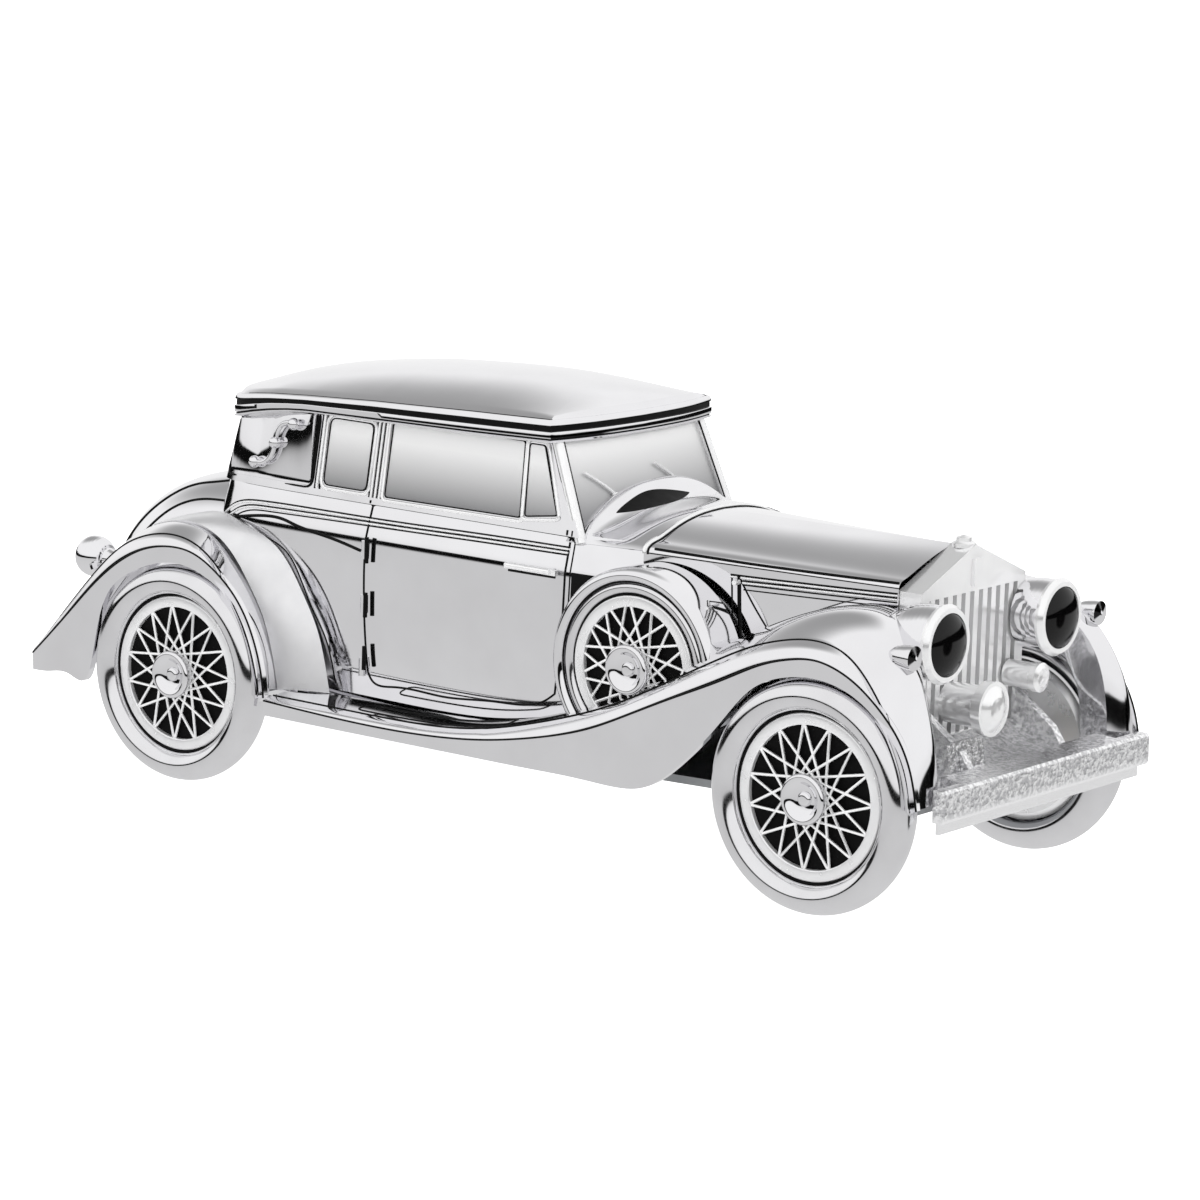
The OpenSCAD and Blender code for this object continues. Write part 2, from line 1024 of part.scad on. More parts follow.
placed() body_shell();
placed() roof_panel();
placed() bonnet();
placed() boot_shell();
placed() wing_right();
placed() wing_left();
placed() radiator_shell();
placed() radiator_vanes();
placed() radiator_cap();
placed() headlamp_shells();
placed() headlamp_rims();
placed() headlamp_lenses();
placed() side_lamps();
placed() driving_lamp();
placed() driving_lamp_lens();
placed() horn();
placed() front_apron();
placed() bumper();
placed() number_plate();
placed() windscreen();
placed() wipers();
placed() side_windows();
placed() rear_window();
placed() door_handles();
placed() door_hinges();
placed() hood_irons();
placed() tail_lamps();
placed() rear_plate_box();
placed() spare_cover(-1);  // spare_cover_right
placed() spare_cover(1);  // spare_cover_left
placed() spare_tyres();
placed() spare_rims();
placed() color(black_paint) each_spare() backing(9);  // spare_discs
placed() color(bright) each_spare() spokes(9);  // spare_spokes
placed() color(bright) each_spare() hub_cap();  // spare_hub_caps
placed() base_plate();
placed() base_screws();
placed() axle_bushes();
placed() axle(front_x);  // front_axle
placed() axle(rear_x);  // rear_axle
for (row = [["front", front_x], ["rear", rear_x]])
    for (col = [["right", -1], ["left", 1]]) {
        wheel = str(row[0], "_", col[0]);
        placed() color(plated) at_wheel(row[1], col[1]) tyre();
        placed() color(bright) at_wheel(row[1], col[1]) rim(axle_r);
        placed() color(black_paint) at_wheel(row[1], col[1]) backing(disc_r);
        placed() color(bright) at_wheel(row[1], col[1]) spokes(disc_r);
        placed() color(bright) at_wheel(row[1], col[1]) hub_cap();
    }
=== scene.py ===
from math import cos, pi, radians, sin

import bpy
import numpy as np
from mathutils import Matrix, Vector


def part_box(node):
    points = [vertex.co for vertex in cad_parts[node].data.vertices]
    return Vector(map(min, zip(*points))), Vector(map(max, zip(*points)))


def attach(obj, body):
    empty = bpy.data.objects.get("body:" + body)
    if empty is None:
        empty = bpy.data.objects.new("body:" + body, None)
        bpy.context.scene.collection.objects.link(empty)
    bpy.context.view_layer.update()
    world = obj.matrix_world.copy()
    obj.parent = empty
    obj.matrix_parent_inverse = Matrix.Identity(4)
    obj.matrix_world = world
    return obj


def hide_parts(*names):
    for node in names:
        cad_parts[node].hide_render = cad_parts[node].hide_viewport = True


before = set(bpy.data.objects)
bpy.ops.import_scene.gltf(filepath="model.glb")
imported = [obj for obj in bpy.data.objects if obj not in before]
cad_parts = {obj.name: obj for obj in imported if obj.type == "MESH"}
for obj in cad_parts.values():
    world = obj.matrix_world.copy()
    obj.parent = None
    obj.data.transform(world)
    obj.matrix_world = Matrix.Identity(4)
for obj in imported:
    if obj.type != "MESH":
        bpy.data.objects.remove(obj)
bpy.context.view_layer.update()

mm = 0.001
carBody = "car_body"


def boxCentre(node):
    low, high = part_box(node)
    return (low + high) / 2


frontAxle = boxCentre("front_axle")
rearAxle = boxCentre("rear_axle")
midX = (frontAxle.x + rearAxle.x) / 2  # outlines are drawn from mid-wheelbase


def at(x, y, z):
    return Vector((midX + x * mm, y * mm, z * mm))


# ---- curves ----

def curveThrough(points, knots=None):
    # a smooth curve that passes through every point, as a function of the knot value
    p = np.array(points, float)
    if knots is None:
        steps = np.linalg.norm(np.diff(p, axis=0), axis=1)
        t = np.concatenate([[0], np.cumsum(steps)])
        t = t / t[-1]
    else:
        t = np.array(knots, float)
    n = len(p)
    h = np.diff(t)
    a = np.eye(n)
    r = np.zeros_like(p)
    for i in range(1, n - 1):
        a[i, i - 1], a[i, i], a[i, i + 1] = h[i - 1], 2 * (h[i - 1] + h[i]), h[i]
        r[i] = 6 * ((p[i + 1] - p[i]) / h[i] - (p[i] - p[i - 1]) / h[i - 1])
    m = np.linalg.solve(a, r)

    def point(s):
        i = int(min(max(np.searchsorted(t, s) - 1, 0), n - 2))
        x, y = t[i + 1] - s, s - t[i]
        return ((m[i] * x ** 3 + m[i + 1] * y ** 3) / (6 * h[i])
                + (p[i] / h[i] - m[i] * h[i] / 6) * x
                + (p[i + 1] / h[i] - m[i + 1] * h[i] / 6) * y)
    return point


def along(points, count):
    curve = curveThrough(points)
    return [curve(i / (count - 1)) for i in range(count)]


def profile(*runs):
    # straight and curved runs put end to end, with a sharp corner at each join
    points = []
    for run in runs:
        points += [tuple(p) for p in (along(run, 4 * len(run)) if len(run) > 2 else run)]
    kept = [points[0]]
    for p in points[1:]:
        if abs(p[0] - kept[-1][0]) + abs(p[1] - kept[-1][1]) > 1e-5:
            kept.append(p)
    return kept


# ---- making and finishing pieces ----

def deselect():
    bpy.ops.object.select_all(action="DESELECT")


def choose(piece):
    deselect()
    piece.select_set(True)
    bpy.context.view_layer.objects.active = piece


def inEditMode(piece, *steps):
    choose(piece)
    bpy.ops.object.mode_set(mode="EDIT")
    bpy.ops.mesh.select_all(action="SELECT")
    for step in steps:
        step()
    bpy.ops.object.mode_set(mode="OBJECT")


def weld(distance=0.002):
    return lambda: bpy.ops.mesh.remove_doubles(threshold=distance * mm)


def outwards():
    bpy.ops.mesh.normals_make_consistent(inside=False)


def shapedGrid(name, across, lengthwise, place):
    # a flat grid pressed over a form, as a panel is over its buck
    deselect()
    bpy.ops.mesh.primitive_grid_add(x_subdivisions=across, y_subdivisions=lengthwise, size=1)
    piece = bpy.context.object
    piece.name = name
    for v in piece.data.vertices:
        v.co = place(v.co.x + 0.5, v.co.y + 0.5)
    return piece


def faceAwayFrom(piece, centre):
    # turns an open panel right side out, by the side that its faces show to a point inside the car
    total = sum(f.normal.dot(f.center - centre) * f.area for f in piece.data.polygons)
    if total < 0:
        inEditMode(piece, lambda: bpy.ops.mesh.flip_normals())
    return piece


def turned(name, outline, steps=72):
    # a lathe: the outline is drawn point by point, and spun about Z
    deselect()
    bpy.ops.mesh.primitive_plane_add(size=mm)
    piece = bpy.context.object
    piece.name = name
    start = outline[0]

    def drawAndSpin():
        bpy.ops.mesh.merge(type="CENTER")
        bpy.ops.transform.translate(value=(start[0] * mm, 0, start[1] * mm))
        for a, b in zip(outline, outline[1:]):
            move = ((b[0] - a[0]) * mm, 0, (b[1] - a[1]) * mm)
            bpy.ops.mesh.extrude_region_move(TRANSFORM_OT_translate={"value": move})
        bpy.ops.mesh.select_all(action="SELECT")
        bpy.ops.mesh.spin(steps=steps, angle=2 * pi, center=(0, 0, 0), axis=(0, 0, 1))
        bpy.ops.mesh.select_all(action="SELECT")
        bpy.ops.mesh.remove_doubles(threshold=0.001 * mm)
        bpy.ops.mesh.normals_make_consistent(inside=False)
    inEditMode(piece, drawAndSpin)
    return piece


def slab(name, corners, push):
    # a flat outline with as many corners as it needs, pushed out to a thickness
    deselect()
    bpy.ops.mesh.primitive_circle_add(vertices=len(corners), radius=mm, fill_type="NGON")
    piece = bpy.context.object
    piece.name = name
    for v, corner in zip(piece.data.vertices, corners):
        v.co = corner
    move = tuple(push)
    inEditMode(
        piece,
        lambda: bpy.ops.mesh.extrude_region_move(TRANSFORM_OT_translate={"value": move}),
        lambda: bpy.ops.mesh.select_all(action="SELECT"),
        outwards,
    )
    return piece


def rod(name, points, radius, sides=4, closed=False):
    # a round wire along a path
    path = bpy.data.curves.new(name, "CURVE")
    path.dimensions = "3D"
    path.bevel_depth = radius * mm
    path.bevel_resolution = sides
    path.use_fill_caps = True
    spline = path.splines.new("POLY")
    spline.points.add(len(points) - 1)
    for p, q in zip(spline.points, points):
        p.co = (*q, 1)
    spline.use_cyclic_u = closed
    wire = bpy.data.objects.new(name, path)
    bpy.context.scene.collection.objects.link(wire)
    choose(wire)
    bpy.ops.object.convert(target="MESH")
    piece = bpy.context.object
    piece.name = name
    return piece


def touch(panel, start, towards):
    # where a line drawn from outside the car first meets a panel, and which way the panel faces there
    found, place, normal = panel.ray_cast(start, Vector(towards))[:3]
    return (place, normal) if found else None


def laid(panel, points, lift=0.0, view="side"):
    # a path drawn in side view (x, z), or from behind (y, z) or above (x, y), and laid on a panel
    bpy.context.view_layer.update()
    path = []
    for a, b in points:
        start, towards = {
            "side": (at(a, -45, b), (0, 1, 0)),
            "rear": (at(-110, a, b), (1, 0, 0)),
            "above": (at(a, b, 90), (0, 0, -1)),
        }[view]
        met = touch(panel, start, towards)
        if met:
            path.append(met[0] + met[1] * lift * mm)
    return path


def rounded(corners, radius, steps=5):
    # a polygon's outline, with each corner cut to a curve
    outline = []
    for i in range(len(corners)):
        before, here, after = (np.array(corners[(i + k) % len(corners)], float) for k in (-1, 0, 1))
        a = here + (before - here) / np.linalg.norm(before - here) * radius
        b = here + (after - here) / np.linalg.norm(after - here) * radius
        outline += [(1 - t) ** 2 * a + 2 * t * (1 - t) * here + t * t * b for t in np.linspace(0, 1, steps)]
    return outline


def between(points, gap=0.8):
    # more points along a polyline, so that it follows the panel beneath
    path = []
    for a, b in zip(points, points[1:]):
        a, b = np.array(a, float), np.array(b, float)
        n = max(1, int(np.linalg.norm(b - a) / gap))
        path += [a + (b - a) * i / n for i in range(n)]
    return path + [np.array(points[-1], float)]


def apply(piece, kind, **settings):
    choose(piece)
    modifier = piece.modifiers.new(kind.lower(), kind)
    for key, value in settings.items():
        setattr(modifier, key, value)
    bpy.ops.object.modifier_apply(modifier=modifier.name)
    return piece


def softenEdges(piece, width=0.15, segments=2, angle=40):
    return apply(piece, "BEVEL", width=width * mm, segments=segments, limit_method="ANGLE",
                 angle_limit=radians(angle), harden_normals=False)


def joined(name, pieces):
    deselect()
    for p in pieces:
        p.select_set(True)
    bpy.context.view_layer.objects.active = pieces[0]
    if len(pieces) > 1:
        bpy.ops.object.join()
    piece = bpy.context.object
    piece.name = name
    return piece


def copyOf(piece, name, matrix):
    other = piece.copy()
    other.data = piece.data.copy()
    other.name = name
    bpy.context.scene.collection.objects.link(other)
    other.data.transform(matrix)
    if matrix.determinant() < 0:
        other.data.flip_normals()
    return other


mirrorY = Matrix.Scale(-1, 4, (0, 1, 0))


def settle(piece):
    # the piece's place goes into its mesh
    piece.data.transform(piece.matrix_world)
    piece.matrix_world = Matrix.Identity(4)


def hand(piece, finish, slot, body=carBody, replaces=(), angle=32, keepMaterials=False):
    settle(piece)
    choose(piece)
    bpy.ops.object.shade_smooth_by_angle(angle=radians(angle))
    if not keepMaterials:
        piece.data.materials.clear()
        piece.data.materials.append(finish)
    if replaces:
        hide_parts(*replaces)
    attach(piece, body)
    return piece


# ---- finishes ----

def toLinear(hexCode):
    values = [int(hexCode[i:i + 2], 16) / 255 for i in (1, 3, 5)]
    return tuple(c / 12.92 if c <= 0.04045 else ((c + 0.055) / 1.055) ** 2.4 for c in values) + (1,)


def addNode(tree, kind, settings=None, inputs=None, **links):
    node = tree.nodes.new(kind)
    for key, value in (settings or {}).items():
        setattr(node, key, value)
    for key, value in (inputs or {}).items():
        node.inputs[key].default_value = value
    for key, socket in links.items():
        tree.links.new(socket, node.inputs[key.replace("_", " ")])
    return node


def newMaterial(name):
    material = bpy.data.materials.new(name)
    material.use_nodes = True
    tree = material.node_tree
    return material, tree, tree.nodes["Principled BSDF"]


# Silver-plated zinc casting, hand polished: a mirror with faint waves and cloudier rubbed patches.
# In each plated finish, wave and rubbing are sizes in millimetres: the wavelength and a sixth of a patch.
platedFinish = {
    "name": "polishedSilverPlate", "colour": "#F1F1F3", "duller": "#E6E5E7", "roughness": (0.035, 0.085),
    "wave": 9.0, "waveDepth": 0.012, "rubbing": 1.4,
}
# Plated window panels, bead blasted: soft and grey, with a painted reflection: white at the top, grey
# towards the bottom.
windowFinish = {
    "name": "blastedWindowPaintedReflection", "low": "#858587", "high": "#FFFFFF", "grit": 0.12,
    "lowAt": 47.5, "highAt": 56.5,
}
# the windscreen's painted reflection runs from grey to white between other heights
screenFinish = {**windowFinish, "name": "blastedScreenPaintedReflection", "low": "#98989A", "lowAt": 49, "highAt": 59}


def platedMaterial(finish, metallic=1.0):
    material, tree, shader = newMaterial(finish["name"])
    coords = addNode(tree, "ShaderNodeTexCoord").outputs["Object"]
    rubbed = addNode(tree, "ShaderNodeTexNoise",
                     inputs={"Scale": 1000 / (6 * finish["rubbing"]), "Detail": 3.0}, Vector=coords)
    tone = addNode(tree, "ShaderNodeMix", {"data_type": "RGBA"}, Factor=rubbed.outputs["Fac"])
    tone.inputs["A"].default_value = toLinear(finish["colour"])
    tone.inputs["B"].default_value = toLinear(finish["duller"])
    tree.links.new(tone.outputs["Result"], shader.inputs["Base Color"])
    low, high = finish["roughness"]
    spread = addNode(tree, "ShaderNodeMapRange",
                     inputs={"From Min": 0.3, "From Max": 0.75, "To Min": low, "To Max": high},
                     Value=rubbed.outputs["Fac"])
    tree.links.new(spread.outputs["Result"], shader.inputs["Roughness"])
    waves = addNode(tree, "ShaderNodeTexNoise", inputs={"Scale": 1000 / finish["wave"], "Detail": 2.0},
                    Vector=coords)
    bump = addNode(tree, "ShaderNodeBump", inputs={"Strength": 0.25, "Distance": finish["waveDepth"] * mm},
                   Height=waves.outputs["Fac"])
    tree.links.new(bump.outputs["Normal"], shader.inputs["Normal"])
    shader.inputs["Metallic"].default_value = metallic
    shader.inputs["Specular IOR Level"].default_value = finish.get("specular", 0.5)
    return material


silver = platedMaterial(platedFinish)
# Bright trim, frosted silver rubbed with a soft button: part of the light scatters, so it is the whitest.
trimMetal = platedMaterial({
    "name": "frostedSilverTrim", "colour": "#FBFBFB", "duller": "#F2F2F3", "roughness": (0.12, 0.2),
    "wave": 4.0, "waveDepth": 0.01, "rubbing": 0.5,
}, 0.6)
# Plated tyres, cast and polished on a lathe: a slightly softer mirror than the body.
tyreMetal = platedMaterial({
    "name": "spunTyrePlate", "colour": "#EDEDEF", "duller": "#DFDEE0", "roughness": (0.07, 0.13),
    "wave": 6.0, "waveDepth": 0.01, "rubbing": 0.8,
})
# Wheel rims, silvered and turned bright: pale, with soft reflections.
rimMetal = platedMaterial({
    "name": "turnedRimPlate", "colour": "#F4F4F5", "duller": "#E9E9EA", "roughness": (0.2, 0.3),
    "wave": 3.0, "waveDepth": 0.008, "rubbing": 0.4,
}, 0.6)
# The plate brushed soft in hollows that a mop doesn't reach: an even pale sheen, nothing sharp mirrored.
satinMetal = platedMaterial({
    "name": "satinHollow", "colour": "#F4F4F5", "duller": "#E6E6E8", "roughness": (0.34, 0.42),
    "wave": 5.0, "waveDepth": 0.01, "rubbing": 0.5,
}, 0.75)
# Black in the recesses and seams, rubbed off everywhere else: crisp dark lines of painted shade and painted
# reflection, with some antiquing black.
paintedShadeMetal = platedMaterial({
    "name": "paintedShadeAndReflection", "colour": "#070707", "duller": "#020202", "roughness": (0.5, 0.6),
    "wave": 1.0, "waveDepth": 0.01, "rubbing": 0.3, "specular": 0.15,
}, 0.0)
# Inside of the castings, left as cast, and painted dark grey as shade.
insideMetal = platedMaterial({
    "name": "castInside", "colour": "#3A3939", "duller": "#242323", "roughness": (0.5, 0.65),
    "wave": 1.2, "waveDepth": 0.05, "rubbing": 0.5,
}, 0.7)
# Zinc base plate, tumbled and clear passivated.
zincMetal = platedMaterial({
    "name": "passivatedZinc", "colour": "#B9BBBD", "duller": "#9C9EA1", "roughness": (0.3, 0.45),
    "wave": 1.5, "waveDepth": 0.03, "rubbing": 0.8,
})
# Steel rod and screws, drawn and plated: a grey sheen.
steelMetal = platedMaterial({
    "name": "drawnSteel", "colour": "#C6C7C9", "duller": "#AEB0B3", "roughness": (0.2, 0.3),
    "wave": 0.6, "waveDepth": 0.01, "rubbing": 0.3,
})
# Brass bushes, turned: yellow, with fine tool marks.
brassMetal = platedMaterial({
    "name": "turnedBrass", "colour": "#D9B566", "duller": "#B88F45", "roughness": (0.25, 0.35),
    "wave": 0.6, "waveDepth": 0.01, "rubbing": 0.3,
})


def enamelMaterial(name, colour, roughness, specular):
    # specks of dust under the spray, 0.4 mm apart, a shade lighter than the enamel
    material, tree, shader = newMaterial(name)
    coords = addNode(tree, "ShaderNodeTexCoord").outputs["Object"]
    specks = addNode(tree, "ShaderNodeTexNoise", inputs={"Scale": 2500.0, "Detail": 2.0}, Vector=coords)
    tone = addNode(tree, "ShaderNodeMix", {"data_type": "RGBA"}, Factor=specks.outputs["Fac"])
    tone.inputs["A"].default_value = toLinear(colour)
    tone.inputs["B"].default_value = toLinear("#0A090A")
    tree.links.new(tone.outputs["Result"], shader.inputs["Base Color"])
    shader.inputs["Roughness"].default_value = roughness
    shader.inputs["IOR"].default_value = 1.5
    shader.inputs["Specular IOR Level"].default_value = specular
    return material


# Black stoving enamel behind the spokes, sprayed: flat and even.
blackEnamel = enamelMaterial("blackStovingEnamel", "#030303", 0.6, 0.1)
# Black glass enamel in the headlamps, fired: deep and glossy.
lampEnamel = enamelMaterial("firedBlackLamp", "#020202", 0.06, 0.3)


# Sizes in millimetres: grain, depth, and the height at which the peening starts above the smooth lip
peening = {"grain": 0.7, "depth": 0.2, "startsAt": (16.6, 17.6), "colour": "#F8F8F9", "pitShade": "#CBCBCD"}


def stippledMaterial():
    # Plate over a shot-peened casting: grains that sparkle, and a smooth lip along the foot
    material, tree, shader = newMaterial("peenedPlate")
    coords = addNode(tree, "ShaderNodeTexCoord").outputs["Object"]
    grains = addNode(tree, "ShaderNodeTexNoise",
                     inputs={"Scale": 1000 / peening["grain"], "Detail": 2.0, "Roughness": 0.55},
                     Vector=coords)
    height = addNode(tree, "ShaderNodeSeparateXYZ", Vector=coords)
    low, high = peening["startsAt"]
    peened = addNode(tree, "ShaderNodeMapRange", inputs={"From Min": low * mm, "From Max": high * mm},
                     Value=height.outputs["Z"])
    depth = addNode(tree, "ShaderNodeMath", {"operation": "MULTIPLY"})
    tree.links.new(grains.outputs["Fac"], depth.inputs[0])
    tree.links.new(peened.outputs["Result"], depth.inputs[1])
    bump = addNode(tree, "ShaderNodeBump", inputs={"Strength": 0.7, "Distance": peening["depth"] * mm},
                   Height=depth.outputs["Value"])
    # the pits, where the bump is lowest, are painted a darker grey: painted shade
    pitShade = addNode(tree, "ShaderNodeMapRange", inputs={"From Min": 0.58, "From Max": 0.4},
                   Value=grains.outputs["Fac"])
    share = addNode(tree, "ShaderNodeMath", {"operation": "MULTIPLY"})
    tree.links.new(pitShade.outputs["Result"], share.inputs[0])
    tree.links.new(peened.outputs["Result"], share.inputs[1])
    tone = addNode(tree, "ShaderNodeMix", {"data_type": "RGBA"}, Factor=share.outputs["Value"])
    tone.inputs["A"].default_value = toLinear(peening["colour"])
    tone.inputs["B"].default_value = toLinear(peening["pitShade"])
    tree.links.new(tone.outputs["Result"], shader.inputs["Base Color"])
    tree.links.new(bump.outputs["Normal"], shader.inputs["Normal"])
    shader.inputs["Metallic"].default_value = 0.85
    shader.inputs["Roughness"].default_value = 0.22
    return material


stippledMetal = stippledMaterial()


def windowMaterial(finish):
    material, tree, shader = newMaterial(finish["name"])
    coords = addNode(tree, "ShaderNodeTexCoord").outputs["Object"]
    height = addNode(tree, "ShaderNodeSeparateXYZ", Vector=coords)
    # colour runs from the low grey to the high white with height: a painted reflection
    rise = addNode(tree, "ShaderNodeMapRange",
                   inputs={"From Min": finish["lowAt"] * mm, "From Max": finish["highAt"] * mm},
                   Value=height.outputs["Z"])
    tone = addNode(tree, "ShaderNodeMix", {"data_type": "RGBA"}, Factor=rise.outputs["Result"])
    tone.inputs["A"].default_value = toLinear(finish["low"])
    tone.inputs["B"].default_value = toLinear(finish["high"])
    tree.links.new(tone.outputs["Result"], shader.inputs["Base Color"])
    grit = addNode(tree, "ShaderNodeTexNoise", inputs={"Scale": 1000 / finish["grit"], "Detail": 1.0},
                   Vector=coords)
    bump = addNode(tree, "ShaderNodeBump", inputs={"Strength": 0.15, "Distance": 0.01 * mm},
                   Height=grit.outputs["Fac"])
    tree.links.new(bump.outputs["Normal"], shader.inputs["Normal"])
    shader.inputs["Metallic"].default_value = 0.7
    shader.inputs["Roughness"].default_value = 0.45
    return material


windowMetal = windowMaterial(windowFinish)
screenMetal = windowMaterial(screenFinish)
print("finishes ready")

# ---- camera, floor and studio ----

camera = {
    "place": (0.43756, -0.57188, 0.16776), "azimuth": 37.009, "pitch": 10.638, "roll": 1.884, "lens": 143.3,
}


def makeCamera():
    a, e, r = (radians(camera[k]) for k in ("azimuth", "pitch", "roll"))
    back = Vector((sin(a) * cos(e), -cos(a) * cos(e), sin(e)))
    right = Vector((cos(a), sin(a), 0))
    up = back.cross(right)
    right, up = cos(r) * right + sin(r) * up, -sin(r) * right + cos(r) * up
    data = bpy.data.cameras.new("camera")
    data.lens = camera["lens"]
    data.sensor_width = 36
    data.clip_start = 0.01
    data.clip_end = 20
    eye = bpy.data.objects.new("camera", data)
    turn = Matrix((right, up, back)).transposed().to_4x4()
    eye.matrix_world = Matrix.Translation(camera["place"]) @ turn
    bpy.context.scene.collection.objects.link(eye)
    bpy.context.scene.camera = eye


makeCamera()

studio = {"floorSize": 14.0, "floorGlow": 0.95, "domeShare": 0.48, "domeGlow": 1.0}


def makeFloor():
    deselect()
    bpy.ops.mesh.primitive_circle_add(vertices=96, radius=studio["floorSize"] / 2, fill_type="NGON")
    floor = bpy.context.object
    floor.name = "studioFloor"
    material, tree, shader = newMaterial("paperFloor")
    grain = addNode(tree, "ShaderNodeTexNoise", inputs={"Scale": 60.0},
                    Vector=addNode(tree, "ShaderNodeTexCoord").outputs["Object"])
    tone = addNode(tree, "ShaderNodeMix", {"data_type": "RGBA"}, Factor=grain.outputs["Fac"])
    tone.inputs["A"].default_value = toLinear("#FFFFFF")
    tone.inputs["B"].default_value = toLinear("#FCFCFC")
    tree.links.new(tone.outputs["Result"], shader.inputs["Base Color"])
    shader.inputs["Roughness"].default_value = 1.0
    shader.inputs["Emission Color"].default_value = (1, 1, 1, 1)
    shader.inputs["Emission Strength"].default_value = studio["floorGlow"]
    floor.data.materials.append(material)
    floor.visible_glossy = False  # the plate mirrors the room's grey lower half instead


makeFloor()


def makeBackdrop():
    # a white dome behind everything, which the plate neither mirrors nor is lit by
    deselect()
    bpy.ops.mesh.primitive_uv_sphere_add(segments=48, ring_count=24,
                                         radius=studio["floorSize"] * studio["domeShare"])
    dome = bpy.context.object
    dome.name = "studioBackdrop"
    material, tree, shader = newMaterial("paperBackdrop")
    grain = addNode(tree, "ShaderNodeTexNoise", inputs={"Scale": 2.0},
                    Vector=addNode(tree, "ShaderNodeTexCoord").outputs["Object"])
    tone = addNode(tree, "ShaderNodeMix", {"data_type": "RGBA"}, Factor=grain.outputs["Fac"])
    tone.inputs["A"].default_value = toLinear("#FFFFFF")
    tone.inputs["B"].default_value = toLinear("#FDFDFD")
    tree.links.new(tone.outputs["Result"], shader.inputs["Emission Color"])
    shader.inputs["Base Color"].default_value = (0, 0, 0, 1)
    shader.inputs["Specular IOR Level"].default_value = 0
    shader.inputs["Emission Strength"].default_value = studio["domeGlow"]
    dome.data.materials.append(material)
    dome.visible_glossy = dome.visible_diffuse = dome.visible_shadow = False


makeBackdrop()

# The room's brightness by the sine of the elevation: white above, pale grey below, black at the horizon
roomBands = [(-1.0, 0.74), (-0.35, 0.7), (-0.105, 0.66), (-0.085, 0.004), (0.058, 0.004), (0.075, 0.9),
             (0.2, 1.0), (1.0, 1.0)]
# Dim stretches of the studio, each by the direction in which it lies
dimPatches = [
    {"towards": (-0.59, 0.30, 0.75), "starts": 0.84, "full": 1.0, "brightness": 0.38},
    {"towards": (0.85, 0.49, -0.14), "starts": 0.965, "full": 0.985, "brightness": 0.03},
]
# The wall behind the car is white down to the floor
whiteWall = {"towards": (-0.6, 0.79, 0.0), "starts": 0.86, "full": 0.93, "brightness": 0.96}


def makeRoom():
    world = bpy.data.worlds.new("room")
    bpy.context.scene.world = world
    world.use_nodes = True
    tree = world.node_tree
    background = tree.nodes["Background"]
    direction = addNode(tree, "ShaderNodeTexCoord").outputs["Generated"]
    height = addNode(tree, "ShaderNodeSeparateXYZ", Vector=direction)
    share = addNode(tree, "ShaderNodeMapRange", inputs={"From Min": -1.0, "From Max": 1.0},
                    Value=height.outputs["Z"])
    ramp = addNode(tree, "ShaderNodeValToRGB", Fac=share.outputs["Result"])
    stops = ramp.color_ramp.elements
    for band in roomBands[1:-1]:
        stops.new((band[0] + 1) / 2)
    for stop, (level, value) in zip(stops, roomBands):
        stop.position = (level + 1) / 2
        stop.color = (value, value, value, 1)

    def nearTo(patch, away, full):
        # how near a direction is to the middle of a patch, from one value far away to another in full
        aim = addNode(tree, "ShaderNodeVectorMath", {"operation": "DOT_PRODUCT"})
        tree.links.new(direction, aim.inputs[0])
        aim.inputs[1].default_value = Vector(patch["towards"]).normalized()
        return addNode(tree, "ShaderNodeMapRange", {"interpolation_type": "SMOOTHSTEP"},
                       {"From Min": patch["starts"], "From Max": patch["full"], "To Min": away,
                        "To Max": full},
                       Value=aim.outputs["Value"])

    wall = nearTo(whiteWall, 0.0, 1.0)
    lit = addNode(tree, "ShaderNodeMix", {"data_type": "RGBA"}, Factor=wall.outputs["Result"])
    tree.links.new(ramp.outputs["Color"], lit.inputs["A"])
    lit.inputs["B"].default_value = (whiteWall["brightness"],) * 3 + (1,)
    light = lit.outputs["Result"]
    for patch in dimPatches:
        near = nearTo(patch, 1.0, patch["brightness"])
        dimmed = addNode(tree, "ShaderNodeMix", {"data_type": "RGBA", "blend_type": "MULTIPLY"},
                         {"Factor": 1.0})
        tree.links.new(light, dimmed.inputs["A"])
        tree.links.new(near.outputs["Result"], dimmed.inputs["B"])
        light = dimmed.outputs["Result"]
    tree.links.new(light, background.inputs["Color"])


makeRoom()
bpy.context.scene.view_settings.view_transform = "Standard"
print("studio ready")

# ---- wheels ----

# Radii in millimetres from the axle; a lathe outline gives (radius, distance out from the wheel's middle)
wheel = {
    "rimOut": 12.15, "disc": 10.4, "spokeCount": 15, "spokeRadius": 0.22, "hubFlange": 2.9, "lacing": 0.09,
}
# Rings of black wire standing for painted reflection lines: radius from the axle, how far out, and the
# wire's own radius
beadReflectionRing = (12.3, 0.82, 0.2)
spareReflectionRings = [(10.85, 0.7, 0.16), (12.72, 1.12, 0.14)]
still = Matrix.Identity(4)
tyreOutline = profile(
    [(12.45, 0.9), (12.6, 1.6), (13.2, 2.45), (14.2, 2.95), (15.3, 2.8), (16.3, 2.05), (16.85, 1.0),
     (17.0, 0), (16.85, -1.0), (16.3, -2.05), (15.3, -2.8), (14.2, -2.95), (13.2, -2.8), (12.5, -2.5)],
)


def rimOutline(disc, rimOut, face=1.15):
    return [
        (1.55, -2.75), (11.2, -2.75), (12.3, -1.9), (12.35, 0.3), (rimOut, face - 0.25),
        (rimOut - 0.2, face), (disc + 0.15, face), (disc, face - 0.15), (disc, -0.5), (1.55, -0.5),
    ]


